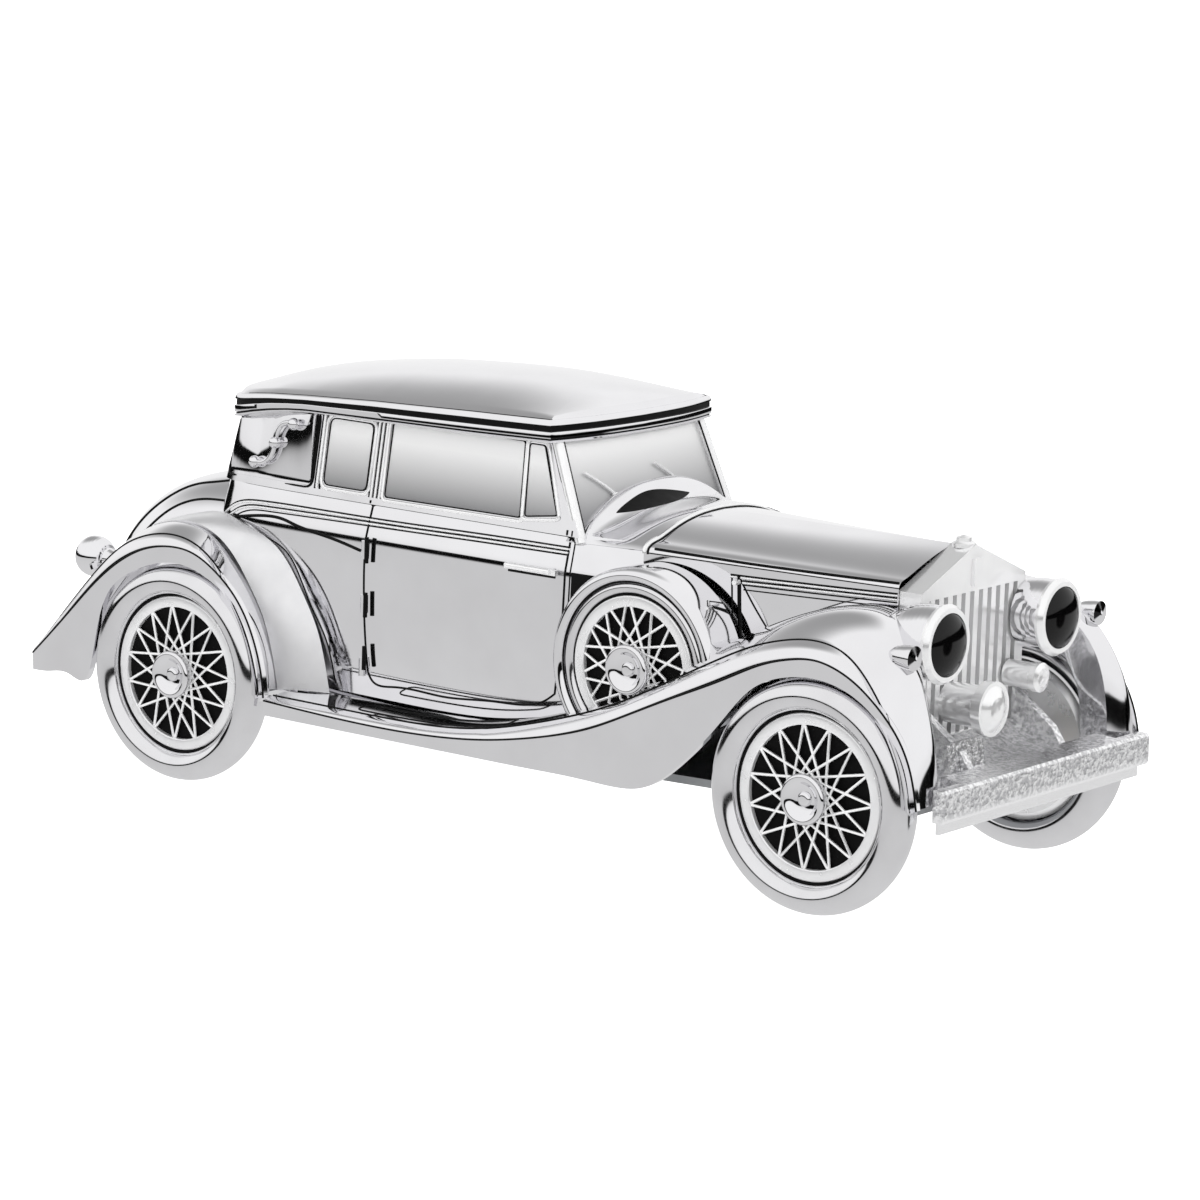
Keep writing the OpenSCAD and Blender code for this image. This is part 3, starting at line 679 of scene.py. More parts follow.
hubOutline = profile(
    [(2.9, 0.85), (2.2, 1.0), (1.9, 1.5), (2.3, 1.9)],
    [(2.3, 1.9), (3.2, 1.95), (3.65, 2.3), (3.7, 2.75), (3.35, 3.1), (2.9, 3.05), (2.1, 2.5), (1.1, 2.2)],
    [(1.1, 2.2), (1.0, 2.45)],
    [(1.0, 2.45), (0.8, 2.6), (0.4, 2.68), (0.0, 2.7)],
)


def spokeSet(name, reach, rise=1.35, drop=0.75):
    # one spoke is made, then copied round the hub, half of them leaning each way
    hub = wheel["hubFlange"]
    length = (reach * reach - hub * hub) ** 0.5
    spoke = rod(name, [Vector((hub * mm, 0, rise * mm)), Vector((hub * mm, length * mm, drop * mm))],
                wheel["spokeRadius"], sides=2)
    made = []
    for lean in (1, -1):
        for i in range(wheel["spokeCount"]):
            angle = 2 * pi * i / wheel["spokeCount"] + (wheel["lacing"] if lean < 0 else 0)
            turn = Matrix.Rotation(angle, 4, "Z") @ Matrix.Diagonal((1, lean, 1, 1))
            made.append(copyOf(spoke, f"{name}Part", turn))
    bpy.data.objects.remove(spoke)
    return joined(name, made)


def wireRing(name, ring, sides):
    radius, out, thick = ring
    outline = [(radius + thick * cos(t * 2 * pi / sides), out + thick * sin(t * 2 * pi / sides))
               for t in range(sides + 1)]
    return turned(name, outline, 96)


def placedWheel(piece, centre, side):
    piece.data.transform(Matrix.Translation(centre) @ Matrix.Rotation(-side * pi / 2, 4, "X"))
    return piece


tyreMaster = turned("tyreMaster", tyreOutline, 120)
rimMaster = softenEdges(turned("rimMaster", rimOutline(wheel["disc"], wheel["rimOut"]), 96), 0.08)
beadMaster = wireRing("beadMaster", beadReflectionRing, 12)
hubMaster = turned("hubMaster", hubOutline, 64)
spokeMaster = spokeSet("spokeMaster", wheel["disc"] + 0.1)

for end in ("front", "rear"):
    for sideName, side in (("right", -1), ("left", 1)):
        name = f"{end}_{sideName}"
        body = f"{end}_wheelset"
        centre = boxCentre(f"{name}_tyre")
        parts = [
            (tyreMaster, "Tyre", tyreMetal, "plated_tyre", f"{name}_tyre", 60),
            (rimMaster, "Rim", rimMetal, "plated_wheel", f"{name}_rim", 32),
            # the bead ring is black: a painted reflection line
            (beadMaster, "Bead", paintedShadeMetal, "plated_wheel", None, 60),
            (hubMaster, "HubCap", silver, "plated_wheel", f"{name}_hub_cap", 40),
            (spokeMaster, "Spokes", trimMetal, "plated_wheel", f"{name}_spokes", 40),
        ]
        for master, label, finish, slotName, node, angle in parts:
            made = copyOf(master, name.replace("_", "") + label, still)
            placedWheel(made, centre, side)
            hand(made, finish, slotName, body, [node] if node else [], angle)
print("wheels ready")

# ---- spare wheels ----

spareDisc = 9.0
spareTyreOutline = profile(
    [(10.9, 0.4), (11.1, 1.0), (11.7, 1.35), (12.3, 1.2), (12.7, 0.4), (12.7, -1.6)],
)
spareRimOutline = [
    (0.01, -2.4), (10.4, -2.4), (10.5, 0.6), (10.7, 0.95), (10.55, 1.15), (spareDisc + 0.15, 1.15),
    (spareDisc, 1.0), (spareDisc, -0.5), (0.01, -0.5),
]
coverOutline = profile(
    [(12.75, -1.6), (12.75, 1.1)],
    [(12.75, 1.1), (13.1, 1.6), (13.7, 1.8), (14.3, 1.5), (14.7, 0.8), (14.8, 0.0)],
    [(14.8, 0.0), (14.8, -5.8)],
    [(14.8, -5.8), (13.6, -5.8)],
    [(13.6, -5.8), (12.75, -1.6)],
)
spareParts = {
    "SpareTyre": (turned("spareTyreMaster", spareTyreOutline, 96), tyreMetal, "bright_trim", "spare_tyres",
                  60),
    "SpareRim": (softenEdges(turned("spareRimMaster", spareRimOutline, 96), 0.08), rimMetal, "bright_trim",
                 "spare_rims", 32),
    "SpareSpokes": (spokeSet("spareSpokeMaster", spareDisc + 0.1), trimMetal, "bright_trim",
                    "spare_spokes", 40),
    "SpareHubCap": (copyOf(hubMaster, "spareHubMaster", still), silver, "bright_trim", "spare_hub_caps",
                    40),
    # black rings on the spare: painted reflection lines
    "SpareReflectionLine": (joined("spareReflectionMaster", [wireRing("spareSeam", ring, 10) for ring in spareReflectionRings]),
                  paintedShadeMetal, "bright_trim", None, 60),
    "SpareCover": (turned("coverMaster", coverOutline, 120), silver, "plated_casting", None, 32),
}
for sideName, side in (("right", -1), ("left", 1)):
    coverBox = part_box(f"spare_cover_{sideName}")
    spareCentre = at(25.6, side * 24.4, 30)
    spareCentre.x = (coverBox[0].x + coverBox[1].x) / 2
    for label, (master, finish, slotName, node, angle) in spareParts.items():
        made = copyOf(master, sideName + label, still)
        placedWheel(made, spareCentre, side)
        nodes = [f"spare_cover_{sideName}"] if label == "SpareCover" else ([node] if node else [])
        hand(made, finish, slotName, carBody, nodes, angle)
masters = [tyreMaster, rimMaster, beadMaster, hubMaster, spokeMaster]
for master in masters + [part[0] for part in spareParts.values()]:
    bpy.data.objects.remove(master)
print("spare wheels ready")

# ---- wings ----

# Lines along the front wing and running board, from the tail of the board to the foot of the nose
frontWing = {
    "edge": [(-41.4, 13.3), (-27.5, 13.3), (-14, 13.3), (-2, 13.3), (9, 13.3), (20, 13.3), (29.6, 13.4),
             (36.4, 17.0), (43.6, 24.2), (49.4, 30.8), (55.3, 33.7), (61, 34.3), (66, 33.3), (70.2, 31.0),
             (74.2, 27.0), (76.5, 22.2), (77.4, 18.0)],
    "skirtTop": [(-41.4, 15.6), (-27.5, 15.1), (-14, 15.05), (-2, 15.8), (8.5, 17.5), (19.2, 20.3),
                 (27.5, 23.8), (35.8, 27.7), (44.2, 31.5), (51, 34.8), (56.5, 36.5), (61, 36.9),
                 (65.5, 35.7), (69.9, 33.1), (74.6, 28.6), (77.4, 23.4), (78.6, 18.2)],
    "shoulder": [(-41.4, -27.6, 16.1), (-27.5, -27.6, 16.05), (-14, -27.6, 16.1), (-3, -27.6, 16.9),
                 (7, -27.6, 19.0), (17.2, -27.6, 22.1), (25.5, -27.6, 25.4), (34, -27.6, 29.7),
                 (42, -27.6, 33.9), (48.4, -27.6, 36.9), (54, -27.6, 38.6), (58.8, -27.6, 39.2),
                 (63.6, -27.8, 38.4), (68.2, -28.2, 35.2), (73.0, -28.8, 29.2), (76.4, -29.3, 23.2),
                 (77.9, -29.5, 18.2)],
    "crown": [(-41.4, -24, 16.3), (-27.5, -24, 16.2), (-14, -24, 16.3), (-3.5, -24, 17.2),
              (6.5, -24, 19.4), (17, -24, 22.8), (25.3, -23.8, 26.4), (33.8, -23.4, 31.2),
              (41.5, -23, 35.8), (48, -22.6, 39.2), (54, -22.4, 41.6), (60, -22.2, 42.8),
              (66, -22.6, 42.2), (71.4, -24, 38.8), (75.8, -25.2, 33.0), (78.4, -25.8, 26.0),
              (79.2, -26, 18.6)],
    "inner": [(-41.4, -20.4, 16.2), (-27.5, -20.2, 16.2), (-14, -20.0, 16.3), (-3.5, -20.0, 17),
              (6.5, -19.8, 19), (16.5, -19.4, 22), (25, -18.8, 26.2), (33.5, -18.0, 31.6),
              (41, -16.6, 36.0), (48, -15.8, 39.2), (55, -15.2, 41.8), (61, -15.0, 43.0),
              (66.6, -16.4, 42.0), (71, -20, 38.4), (74.6, -22.3, 33.0), (76.6, -22.8, 26),
              (77.2, -22.8, 18.6)],
    "inside": [(-41.4, -20.0, 13.6), (-27.5, -19.6, 13.6), (-14, -19.4, 13.8), (-3.5, -19.4, 14),
               (6.5, -19.2, 15), (16.5, -18.8, 18), (25, -18.2, 22), (33.5, -17.4, 27),
               (41, -16.0, 31.0), (48, -15.2, 34.2), (55, -14.6, 36), (61, -14.4, 37.0),
               (65.6, -15.4, 36.0), (68, -20, 34.4), (71, -21.8, 30.0), (72.6, -22, 25), (73, -22, 18.6)],
}
rearWing = {
    "edge": [(-90.2, 13.3), (-86.6, 13.5), (-82.4, 13.7), (-78.2, 14.2), (-75.3, 25.7), (-69.3, 31.9),
             (-62.4, 34.3), (-55.8, 33.9), (-50.1, 31.3), (-47.2, 29.0), (-44.7, 25.5), (-43.2, 21.6),
             (-42.6, 18.2), (-42.5, 15.2)],
    "skirtTop": [(-90.3, 16.0), (-87.2, 19.0), (-82.6, 23.6), (-77.6, 28.6), (-72.6, 32.7), (-67.4, 35.6),
                 (-62.2, 36.9), (-57, 36.7), (-52.2, 34.6), (-47.9, 31.2), (-44.8, 27.0), (-42.8, 22.4),
                 (-41.8, 18.6), (-41.5, 16.0)],
    "shoulder": [(-90.4, -28.6, 16.9), (-87.6, -28.6, 20.0), (-83.2, -28.6, 25.0), (-78.2, -28.6, 30.4),
                 (-73.2, -28.6, 34.9), (-68.2, -28.6, 37.5), (-63.0, -28.6, 38.6), (-57.8, -28.6, 38.0),
                 (-53.2, -28.6, 35.4), (-49.4, -28.6, 31.4), (-46.4, -28.6, 27.0), (-44.4, -28.6, 22.5),
                 (-43.3, -28.6, 18.6), (-43.0, -28.6, 16.1)],
    "crown": [(-90.4, -24.8, 17.2), (-87.8, -24.8, 20.6), (-83.2, -24.8, 26.2), (-78.2, -24.8, 31.8),
              (-73.4, -24.8, 36.4), (-68.4, -24.8, 39.0), (-63.4, -24.8, 39.9), (-58.2, -24.8, 39.0),
              (-53.6, -25, 36.0), (-49.9, -25, 31.7), (-47.0, -25, 27.2), (-45.0, -25, 22.6),
              (-43.9, -25, 18.8), (-43.5, -25, 16.2)],
    "inner": [(-90.0, -19.0, 17.2), (-87.0, -19.2, 20.2), (-82.4, -19.4, 26.2), (-77.6, -19.6, 31.6),
              (-73.0, -19.8, 36.0), (-68.4, -20, 38.4), (-63.6, -20, 39.0), (-58.8, -20.4, 38.8),
              (-54.0, -20.7, 36.9), (-49.6, -20.7, 33.6), (-46.0, -20.7, 29.4), (-44.0, -20.7, 24.4),
              (-42.7, -20.7, 19.4), (-42.3, -20.7, 16.0)],
    "inside": [(-89.5, -18.6, 14.0), (-86.0, -18.6, 16), (-81.4, -18.8, 22.2), (-76.6, -19, 27.6),
               (-72.4, -19, 32.0), (-68.2, -19.2, 34.4), (-63.6, -19.2, 35.0), (-58.6, -19.2, 35.5),
               (-54.2, -19.2, 34.2), (-50.0, -19.2, 31.4), (-47.0, -19.2, 27.4), (-45.2, -19.2, 22.4),
               (-44.2, -19.2, 17.8), (-43.8, -19.2, 15.0)],
}


def wingLines(wing):
    curves = {}
    for key, points in wing.items():
        full = [(p[0], -29.9, p[1]) if len(p) == 2 else p for p in points]
        curves[key] = curveThrough(full, range(len(full)))
    return curves


def wingSection(curves, s):
    # the points across the wing at station s, from the skirt's edge to the inside
    edge, top, shoulder, crown, inner, inside = (
        curves[k](s) for k in ("edge", "skirtTop", "shoulder", "crown", "inner", "inside"))
    points = [edge + (top - edge) * t for t in (0, 0.2, 0.4, 0.6, 0.8, 0.93)]
    swell = np.array([(top[0] + shoulder[0]) / 2, -29.75, top[2] * 0.3 + shoulder[2] * 0.7])
    if abs(shoulder[2] - top[2]) < 1.2:
        swell[2] = shoulder[2] - 0.15
    for t in np.linspace(0, 1, 9):
        points.append((1 - t) ** 2 * top + 2 * t * (1 - t) * swell + t * t * shoulder)
    over = curveThrough([shoulder, crown, inner])
    points += [over(t) for t in np.linspace(0.04, 1, 17)]
    points += [inner + (inside - inner) * t for t in (0.12, 0.5, 1)]
    return points


def wingPanel(name, wing, stations):
    curves = wingLines(wing)
    last = len(wing["edge"]) - 1
    sections = {}

    def place(u, w):
        s = round(w * stations) / stations * last
        if s not in sections:
            sections[s] = wingSection(curves, s)
        section = sections[s]
        return at(*section[round(u * (len(section) - 1))])
    count = len(wingSection(curves, 0)) - 1
    piece = shapedGrid(name, count, stations, place)
    middle = sum(v.co.x for v in piece.data.vertices) / len(piece.data.vertices)
    faceAwayFrom(piece, Vector((middle, 0, 12 * mm)))
    return piece, curves, last


# black lines along the wing's skirt top and shoulder: painted reflection
def wingShadeLines(name, curves, last):
    lines = []
    for key in ("skirtTop", "shoulder"):
        points = [curves[key](last * i / 160) for i in range(161)]
        lines.append(rod(name + key, [at(*p) for p in points], 0.15, 2))
    return lines


# A smooth band closes the valley between the rear wing and the body: its outer and its inner edge
fairing = {
    "outer": [(-70.0, -24.0, 38.7), (-63.6, -24.3, 40.2), (-57.9, -24.4, 39.4), (-53.1, -24.6, 36.5),
              (-49.4, -24.6, 32.0), (-46.5, -24.6, 27.4), (-44.5, -24.6, 22.0), (-43.2, -24.6, 16.3)],
    "inner": [(-69.0, -17.4, 39.6), (-61.6, -18.4, 41.2), (-54.6, -20.5, 40.6), (-47.0, -20.9, 37.6),
              (-41.8, -20.9, 31.4), (-38.6, -20.9, 26.0), (-36.8, -20.9, 20.6), (-35.8, -20.9, 16.3)],
    "bulge": 0.5,
}


def fairingPlace(u, w):
    outer, inner = (curveThrough(fairing[k], range(8))(w * 7) for k in ("outer", "inner"))
    p = outer + (inner - outer) * u
    swell = fairing["bulge"] * 4 * u * (1 - u)
    return at(p[0] + swell * 0.5, p[1] - swell * 0.6, p[2] + swell * 0.4)


shadeLinesRight = []
wingPieces = []
for name, wing, stations in (("frontWing", frontWing, 128), ("rearWing", rearWing, 104)):
    panel, curves, last = wingPanel(name, wing, stations)
    apply(panel, "SOLIDIFY", thickness=1.2 * mm, offset=-1, material_offset=1, material_offset_rim=0)
    wingPieces.append(panel)
    shadeLinesRight += wingShadeLines(name + "Seam", curves, last)
band = shapedGrid("rearFairing", 14, 90, fairingPlace)
faceAwayFrom(band, at(-60, -8, 12))
apply(band, "SOLIDIFY", thickness=0.4 * mm, offset=-1)
bandLeft = copyOf(band, "leftFairing", mirrorY)
hand(band, satinMetal, "plated_casting", carBody, (), 60)
hand(bandLeft, satinMetal, "plated_casting", carBody, (), 60)
wingRight = joined("rightWing", wingPieces)
wingRight.data.materials.clear()
wingRight.data.materials.append(silver)
wingRight.data.materials.append(insideMetal)
wingLeft = copyOf(wingRight, "leftWing", mirrorY)
hand(wingRight, silver, "plated_casting", carBody, ["wing_right"], 35, True)
hand(wingLeft, silver, "plated_casting", carBody, ["wing_left"], 35, True)
print("wings ready")

# ---- body below the belt ----

beltPlan = [(22, -18.7), (14, -19.7), (4, -20.3), (-10, -20.5), (-30, -20.5), (-46, -20.3), (-55, -19.8),
            (-60.2, -18.5), (-63.2, -15.6), (-65.3, -10.6), (-66.2, -5), (-66.4, 0)]
bodyProfile = [(13.3, 2.2), (14.6, 1.5), (17, 0.95), (22, 0.35), (28, 0.08), (34, 0.0), (38, 0.0),
               (40.4, 0.05), (41.2, 0.1), (41.8, 0.22), (42.6, 0.42), (43.6, 0.66), (45.2, 1.05),
               (46.2, 1.3), (46.9, 1.5)]
gutterPlan = [(4.6, -17.5), (-4, -17.6), (-16, -17.7), (-34, -17.7), (-46, -17.5), (-53.5, -17.1),
              (-57.6, -15.9), (-59.8, -12.8), (-60.7, -6.6), (-61.0, 0)]


def bothHalves(points):
    return list(points) + [(p[0], -p[1]) for p in reversed(points[:-1])]


beltCurve = curveThrough(bothHalves(beltPlan))
profileCurve = curveThrough(bodyProfile)
gutterCurve = curveThrough(bothHalves(gutterPlan))


def planNormal(curve, u):
    a, b = curve(max(u - 0.002, 0)), curve(min(u + 0.002, 1))
    d = b - a
    return np.array([d[1], -d[0]]) / np.hypot(*d) * -1


# which way the plan's normal points is settled once, on the right-hand door
doorPoint = beltCurve(0.2)
outSign = -1 if planNormal(beltCurve, 0.2)[1] * doorPoint[1] < 0 else 1


def lowerBodyPlace(u, w):
    p = beltCurve(u)
    n = planNormal(beltCurve, u) * outSign
    z, tuck = profileCurve(w)
    return at(p[0] - n[0] * tuck, p[1] - n[1] * tuck, z)


lowerPanel = shapedGrid("lowerBody", 150, 70, lowerBodyPlace)
faceAwayFrom(lowerPanel, at(-20, 0, 30))
apply(lowerPanel, "SOLIDIFY", thickness=0.8 * mm, offset=-1)


# ---- cabin above the belt ----

# The windscreen pillar's front edge in side view, and the heights between which the cabin's sides stand
pillarEdge = [(10.6, 46.5), (4.8, 60.6)]
cabin = {"foot": 46.6, "head": 60.1, "stepIn": 0.55, "planStart": 0.10, "frontShare": 0.12}


def pillarX(z):
    (x0, z0), (x1, z1) = pillarEdge
    return x0 - (z - z0) * (x0 - x1) / (z1 - z0)


def cabinPlace(u, w):
    # the right half runs from u = 0 at the pillar to 0.5 at the back, and the left half mirrors it
    start = cabin["planStart"]
    v = u if u <= 0.5 else 1 - u
    around = start + v * (1 - 2 * start)
    low = beltCurve(around) - planNormal(beltCurve, around) * outSign * cabin["stepIn"]
    high = gutterCurve(v)
    z = cabin["foot"] + (cabin["head"] - cabin["foot"]) * w
    t = (z - cabin["foot"]) / (cabin["head"] - cabin["foot"])
    x, y = low + (high - low) * t
    frontX = (beltCurve(start) + (gutterCurve(0) - beltCurve(start)) * t)[0]
    x += (pillarX(z) - frontX) * max(0, 1 - v / cabin["frontShare"])
    return at(x, y if u <= 0.5 else -y, z)


cabinPanel = shapedGrid("cabinSides", 150, 30, cabinPlace)
faceAwayFrom(cabinPanel, at(-20, 0, 50))
apply(cabinPanel, "SOLIDIFY", thickness=0.8 * mm, offset=-1)

# ---- scuttle between the windscreen and the bonnet ----

scuttleSpine = curveThrough([(9.2, 53.0), (10.2, 53.5), (11.2, 53.3), (12.8, 51.9), (14.8, 50.9),
                             (17.6, 50.6), (20, 50.6), (22.2, 50.4)])


def scuttlePlace(u, w):
    x, top = scuttleSpine(w)
    a = (u - 0.5) * 2
    half = 19.2 - 0.5 * w
    low = 45.6 + 0.5 * w
    sweep = abs(a)
    y = half * a
    z = low + (top - low) * (1 - sweep ** 2.3) ** 0.8
    back = (1 - w) * 1.4 * sweep ** 3
    return at(x - back, y, z)


scuttlePanel = shapedGrid("scuttle", 90, 60, scuttlePlace)
faceAwayFrom(scuttlePanel, at(15, 0, 40))

bodyPanels = joined("bodyPanels", [lowerPanel, cabinPanel, scuttlePanel])
hand(bodyPanels, silver, "plated_casting", carBody, ["body_shell"], 35)
print("body ready")

# ---- roof ----

roofPlan = [(7.8, 0), (7.5, -7), (6.7, -14), (5.2, -20.2)]
roofSide = [(5.2, -20.2), (-4, -20.6), (-20, -20.9), (-36, -20.8), (-47, -20.5), (-54.6, -19.9),
            (-58.6, -18.4), (-60.6, -14.6), (-61.4, -8), (-61.7, 0)]
roofRise = curveThrough([(-61.7, 61.0), (-58, 62.4), (-53.6, 63.7), (-44.3, 65.3), (-35, 66.4),
                         (-26, 67.0), (-16, 67.4), (-8.6, 67.3), (-2, 66.7), (3.5, 65.6), (7.8, 63.9)])
# The cornice's foot and top in side view: it droops at the back
corniceFoot = [(-61.7, 56.0), (-59.7, 56.4), (-53.4, 57.8), (-49.7, 58.5), (-46, 59.0), (-42.3, 59.3),
               (-28.7, 59.5), (-10, 59.7), (7.8, 60.1)]
corniceTop = [(-61.7, 60.1), (-57.2, 60.5), (-53.4, 61.0), (-49.7, 61.4), (-42.4, 61.9), (-28.8, 62.6),
              (-10.4, 63.2), (7.8, 63.6)]


def roofOutline(u):
    v = u if u <= 0.5 else 1 - u
    v *= 2
    if v < 0.22:
        p = curveThrough(roofPlan)(v / 0.22)
    else:
        p = curveThrough(roofSide)((v - 0.22) / 0.78)
    return np.array([p[0], p[1] if u <= 0.5 else -p[1]])


roofCount = 200  # columns round the roof
crownRings = 24  # rings from the cornice in to the crown
roofLoop = [roofOutline(i / roofCount) for i in range(roofCount)]
roofMiddle = np.array([-26.0, 0.0])
# Off the outer edge, and the share of the way from foot to top: underside, lip, band, groove painted dark
# as shade, bead
corniceSteps = [(-4.0, 0.0), (-0.3, 0.0), (-0.08, 0.03), (-0.05, 0.09), (-0.3, 0.12), (-0.32, 0.16),
                (0.0, 0.2), (0.0, 0.44), (-0.05, 0.47), (-0.34, 0.5), (-0.36, 0.71), (-0.08, 0.74),
                (-0.1, 0.8), (-0.32, 0.93), (-0.5, 0.98), (-0.7, 0.985), (-0.85, 0.97), (-1.0, 1.0)]
shadedGrooves = [(0.115, 0.165), (0.49, 0.72), (0.978, 0.99)]


def onLine(line, x):
    return np.interp(x, [p[0] for p in line], [p[1] for p in line])


riseXs = [roofRise(t)[0] for t in np.linspace(0, 1, 80)]
riseZs = [roofRise(t)[1] for t in np.linspace(0, 1, 80)]


def roofTop(x, y, edge):
    crest = np.interp(x, riseXs, riseZs)
    return max(edge, edge + (crest - edge) * (1 - (abs(y) / 20) ** 2.2))


roofNormals = []
for k in range(roofCount):
    d = roofLoop[(k + 1) % roofCount] - roofLoop[k - 1]
    n = np.array([d[1], -d[0]]) / np.hypot(*d)
    roofNormals.append(n if np.dot(n, roofLoop[k] - roofMiddle) > 0 else -n)


def roofPlace(u, w):
    ring = round(w * (len(corniceSteps) + crownRings))
    k = round(u * roofCount) % roofCount
    p, n = roofLoop[k], roofNormals[k]
    foot, top = onLine(corniceFoot, p[0]), onLine(corniceTop, p[0])
    if ring < len(corniceSteps):
        off, share = corniceSteps[ring]
        q = p + n * off
        return at(q[0], q[1], foot + (top - foot) * share)
    t = (ring - len(corniceSteps) + 1) / (crownRings + 1)
    q = p + n * corniceSteps[-1][0]
    q = q + (np.array([np.clip(q[0], -50, -2), 0]) - q) * t
    return at(q[0], q[1], roofTop(q[0], q[1], top + (onLine(corniceTop, q[0]) - top) * min(1, 2 * t)))


def onRim(x, y):
    return min(np.hypot(p[0] - x, p[1] - y) for p in roofLoop[::4]) < 2.0


roof = shapedGrid("roof", roofCount, len(corniceSteps) + crownRings, roofPlace)
inEditMode(roof, weld(0.01), outwards)
faceAwayFrom(roof, at(-26, 0, 55))
roof.data.materials.clear()
roof.data.materials.append(silver)
roof.data.materials.append(paintedShadeMetal)
# Faces in the grooves round the rim take the black second material: painted shade and painted reflection
# along the gutter.
for face in roof.data.polygons:
    x, z = face.center.x / mm - midX / mm, face.center.z / mm
    foot, top = onLine(corniceFoot, x), onLine(corniceTop, x)
    share = (z - foot) / (top - foot)
    inShadedGroove = any(a < share < b for a, b in shadedGrooves)
    if inShadedGroove and abs(face.normal.z) < 0.97 and onRim(x, face.center.y / mm):
        face.material_index = 1
hand(roof, silver, "plated_casting", carBody, ["roof_panel"], 28, True)
print("roof ready")

# ---- bonnet ----

# Half sections at its two ends, from the ridge to the shoulder, as (across, height)
bonnetRear = [(0, 50.3), (4.5, 50.1), (9, 49.4), (12.8, 48.3), (16.0, 47.3), (18.0, 46.7), (18.5, 46.2),
              (18.55, 45.6)]
bonnetFront = [(0, 50.5), (3.4, 49.7), (6.8, 48.7), (9.6, 47.7), (12.2, 46.8), (13.5, 46.3),
               (13.85, 45.9), (13.9, 45.4)]
bonnetLow = 30
bonnetLength = (21.8, 63.6)
bonnetEnds = [curveThrough(bonnetRear), curveThrough(bonnetFront)]
bonnetCut = 0.8  # share of the half section that lies above the shoulder


def bonnetSection(a):
    if a <= bonnetCut:
        return [np.array(end(a / bonnetCut)) for end in bonnetEnds]
    drop = (a - bonnetCut) / (1 - bonnetCut)
    feet = (bonnetRear[-1], bonnetFront[-1])
    return [np.array([y, z + (bonnetLow - z) * drop]) for y, z in feet]


bonnetColumns = [bonnetSection(abs(i / 60 - 1)) for i in range(121)]


def bonnetPlace(u, w):
    rear, front = bonnetColumns[round(u * 120)]
    y, z = rear * (1 - w) + front * w
    back, front = bonnetLength
    return at(back + (front - back) * w, y if u > 0.5 else -y, z)


bonnetPanel = shapedGrid("bonnetPanel", 120, 40, bonnetPlace)
faceAwayFrom(bonnetPanel, at(40, 0, 30))
bonnet = hand(bonnetPanel, silver, "plated_casting", carBody, ["bonnet"], 40)

# ---- boot ----

boot = {"start": -61.0, "length": 32.0, "half": 18.8, "top": 45.2, "foot": 14.0, "square": 2.9}


def bootPlace(u, w):
    e = 2 / boot["square"]
    phi = w * pi / 2
    x = boot["start"] - boot["length"] * sin(phi) ** e
    scale = max(cos(phi), 0) ** e
    a = (u - 0.5) * pi
    across = sin(a)
    y = boot["half"] * scale ** 0.8 * (abs(across) ** (2 / 2.6)) * (1 if across > 0 else -1)
    z = boot["foot"] + (boot["top"] - boot["foot"]) * scale * abs(cos(a)) ** (2 / 3.0)
    return at(x, y, z)


bootPanel = shapedGrid("bootPanel", 80, 60, bootPlace)
# Two black lines down the boot in side view: painted reflection
bootReflectionLines = [[(-67.0, 44.4), (-71, 43.6), (-76, 42.4), (-80.4, 39.6), (-83.6, 36.4), (-86.4, 32.4)],
             [(-66.0, 41.6), (-71, 41.2), (-76, 39.4), (-79.6, 36.4), (-82.4, 33.2)]]
inEditMode(bootPanel, weld(0.01), outwards)
faceAwayFrom(bootPanel, at(-70, 0, 20))
hand(bootPanel, silver, "plated_casting", carBody, ["boot_shell"], 40)
print("bonnet and boot ready")

# ---- windows, pillars and mouldings ----

lineRadius = {"seam": 0.15, "fine": 0.11, "frame": 0.32}
brightRight = []


# a thin black rod along a line of the body: painted shade and painted reflection
def seam(name, path, radius=lineRadius["seam"], closed=False):
    shadeLinesRight.append(rod(name, path, radius, 2, closed))


def bright(name, path, radius=lineRadius["frame"], closed=False):
    brightRight.append(rod(name, path, radius, 3, closed))


# Panes by their corners in side view, each with its corner radius
sidePanes = {
    "doorPane": {"corners": [(-26.6, 48.0), (-0.5, 48.2), (-1.3, 59.4), (-26.6, 59.7)], "radius": 0.5},
    "ventPane": {"corners": [(0.4, 48.5), (6.3, 49.3), (2.4, 59.2), (-0.4, 59.2)], "radius": 0.5},
    "quarterPane": {"corners": [(-39.0, 48.4), (-30.4, 48.4), (-30.4, 58.6),
                                (-39.0, 58.6)], "radius": 1.1},
}
bpy.context.view_layer.update()
panesRight = []
for name, pane in sidePanes.items():
    ring = rounded(pane["corners"], pane["radius"])
    outer = laid(bodyPanels, ring, 0.1)
    panesRight.append(slab(name, outer, Vector((0, 0.5 * mm, 0))))
    seam(name + "Edge", laid(bodyPanels, ring, 0.12), lineRadius["fine"], True)
    wider = rounded([np.array(c) + 0.55 * np.sign(np.array(c) - np.mean(pane["corners"], axis=0))
                     for c in pane["corners"]], pane["radius"] + 0.4)
    bright(name + "Frame", laid(bodyPanels, wider, 0.05), 0.3, True)
rightPanes = joined("rightPanes", panesRight)
leftPanes = copyOf(rightPanes, "leftPanes", mirrorY)
hand(rightPanes, windowMetal, "satin_window", carBody, ["side_windows"], 30)
hand(leftPanes, windowMetal, "satin_window", carBody, (), 30)

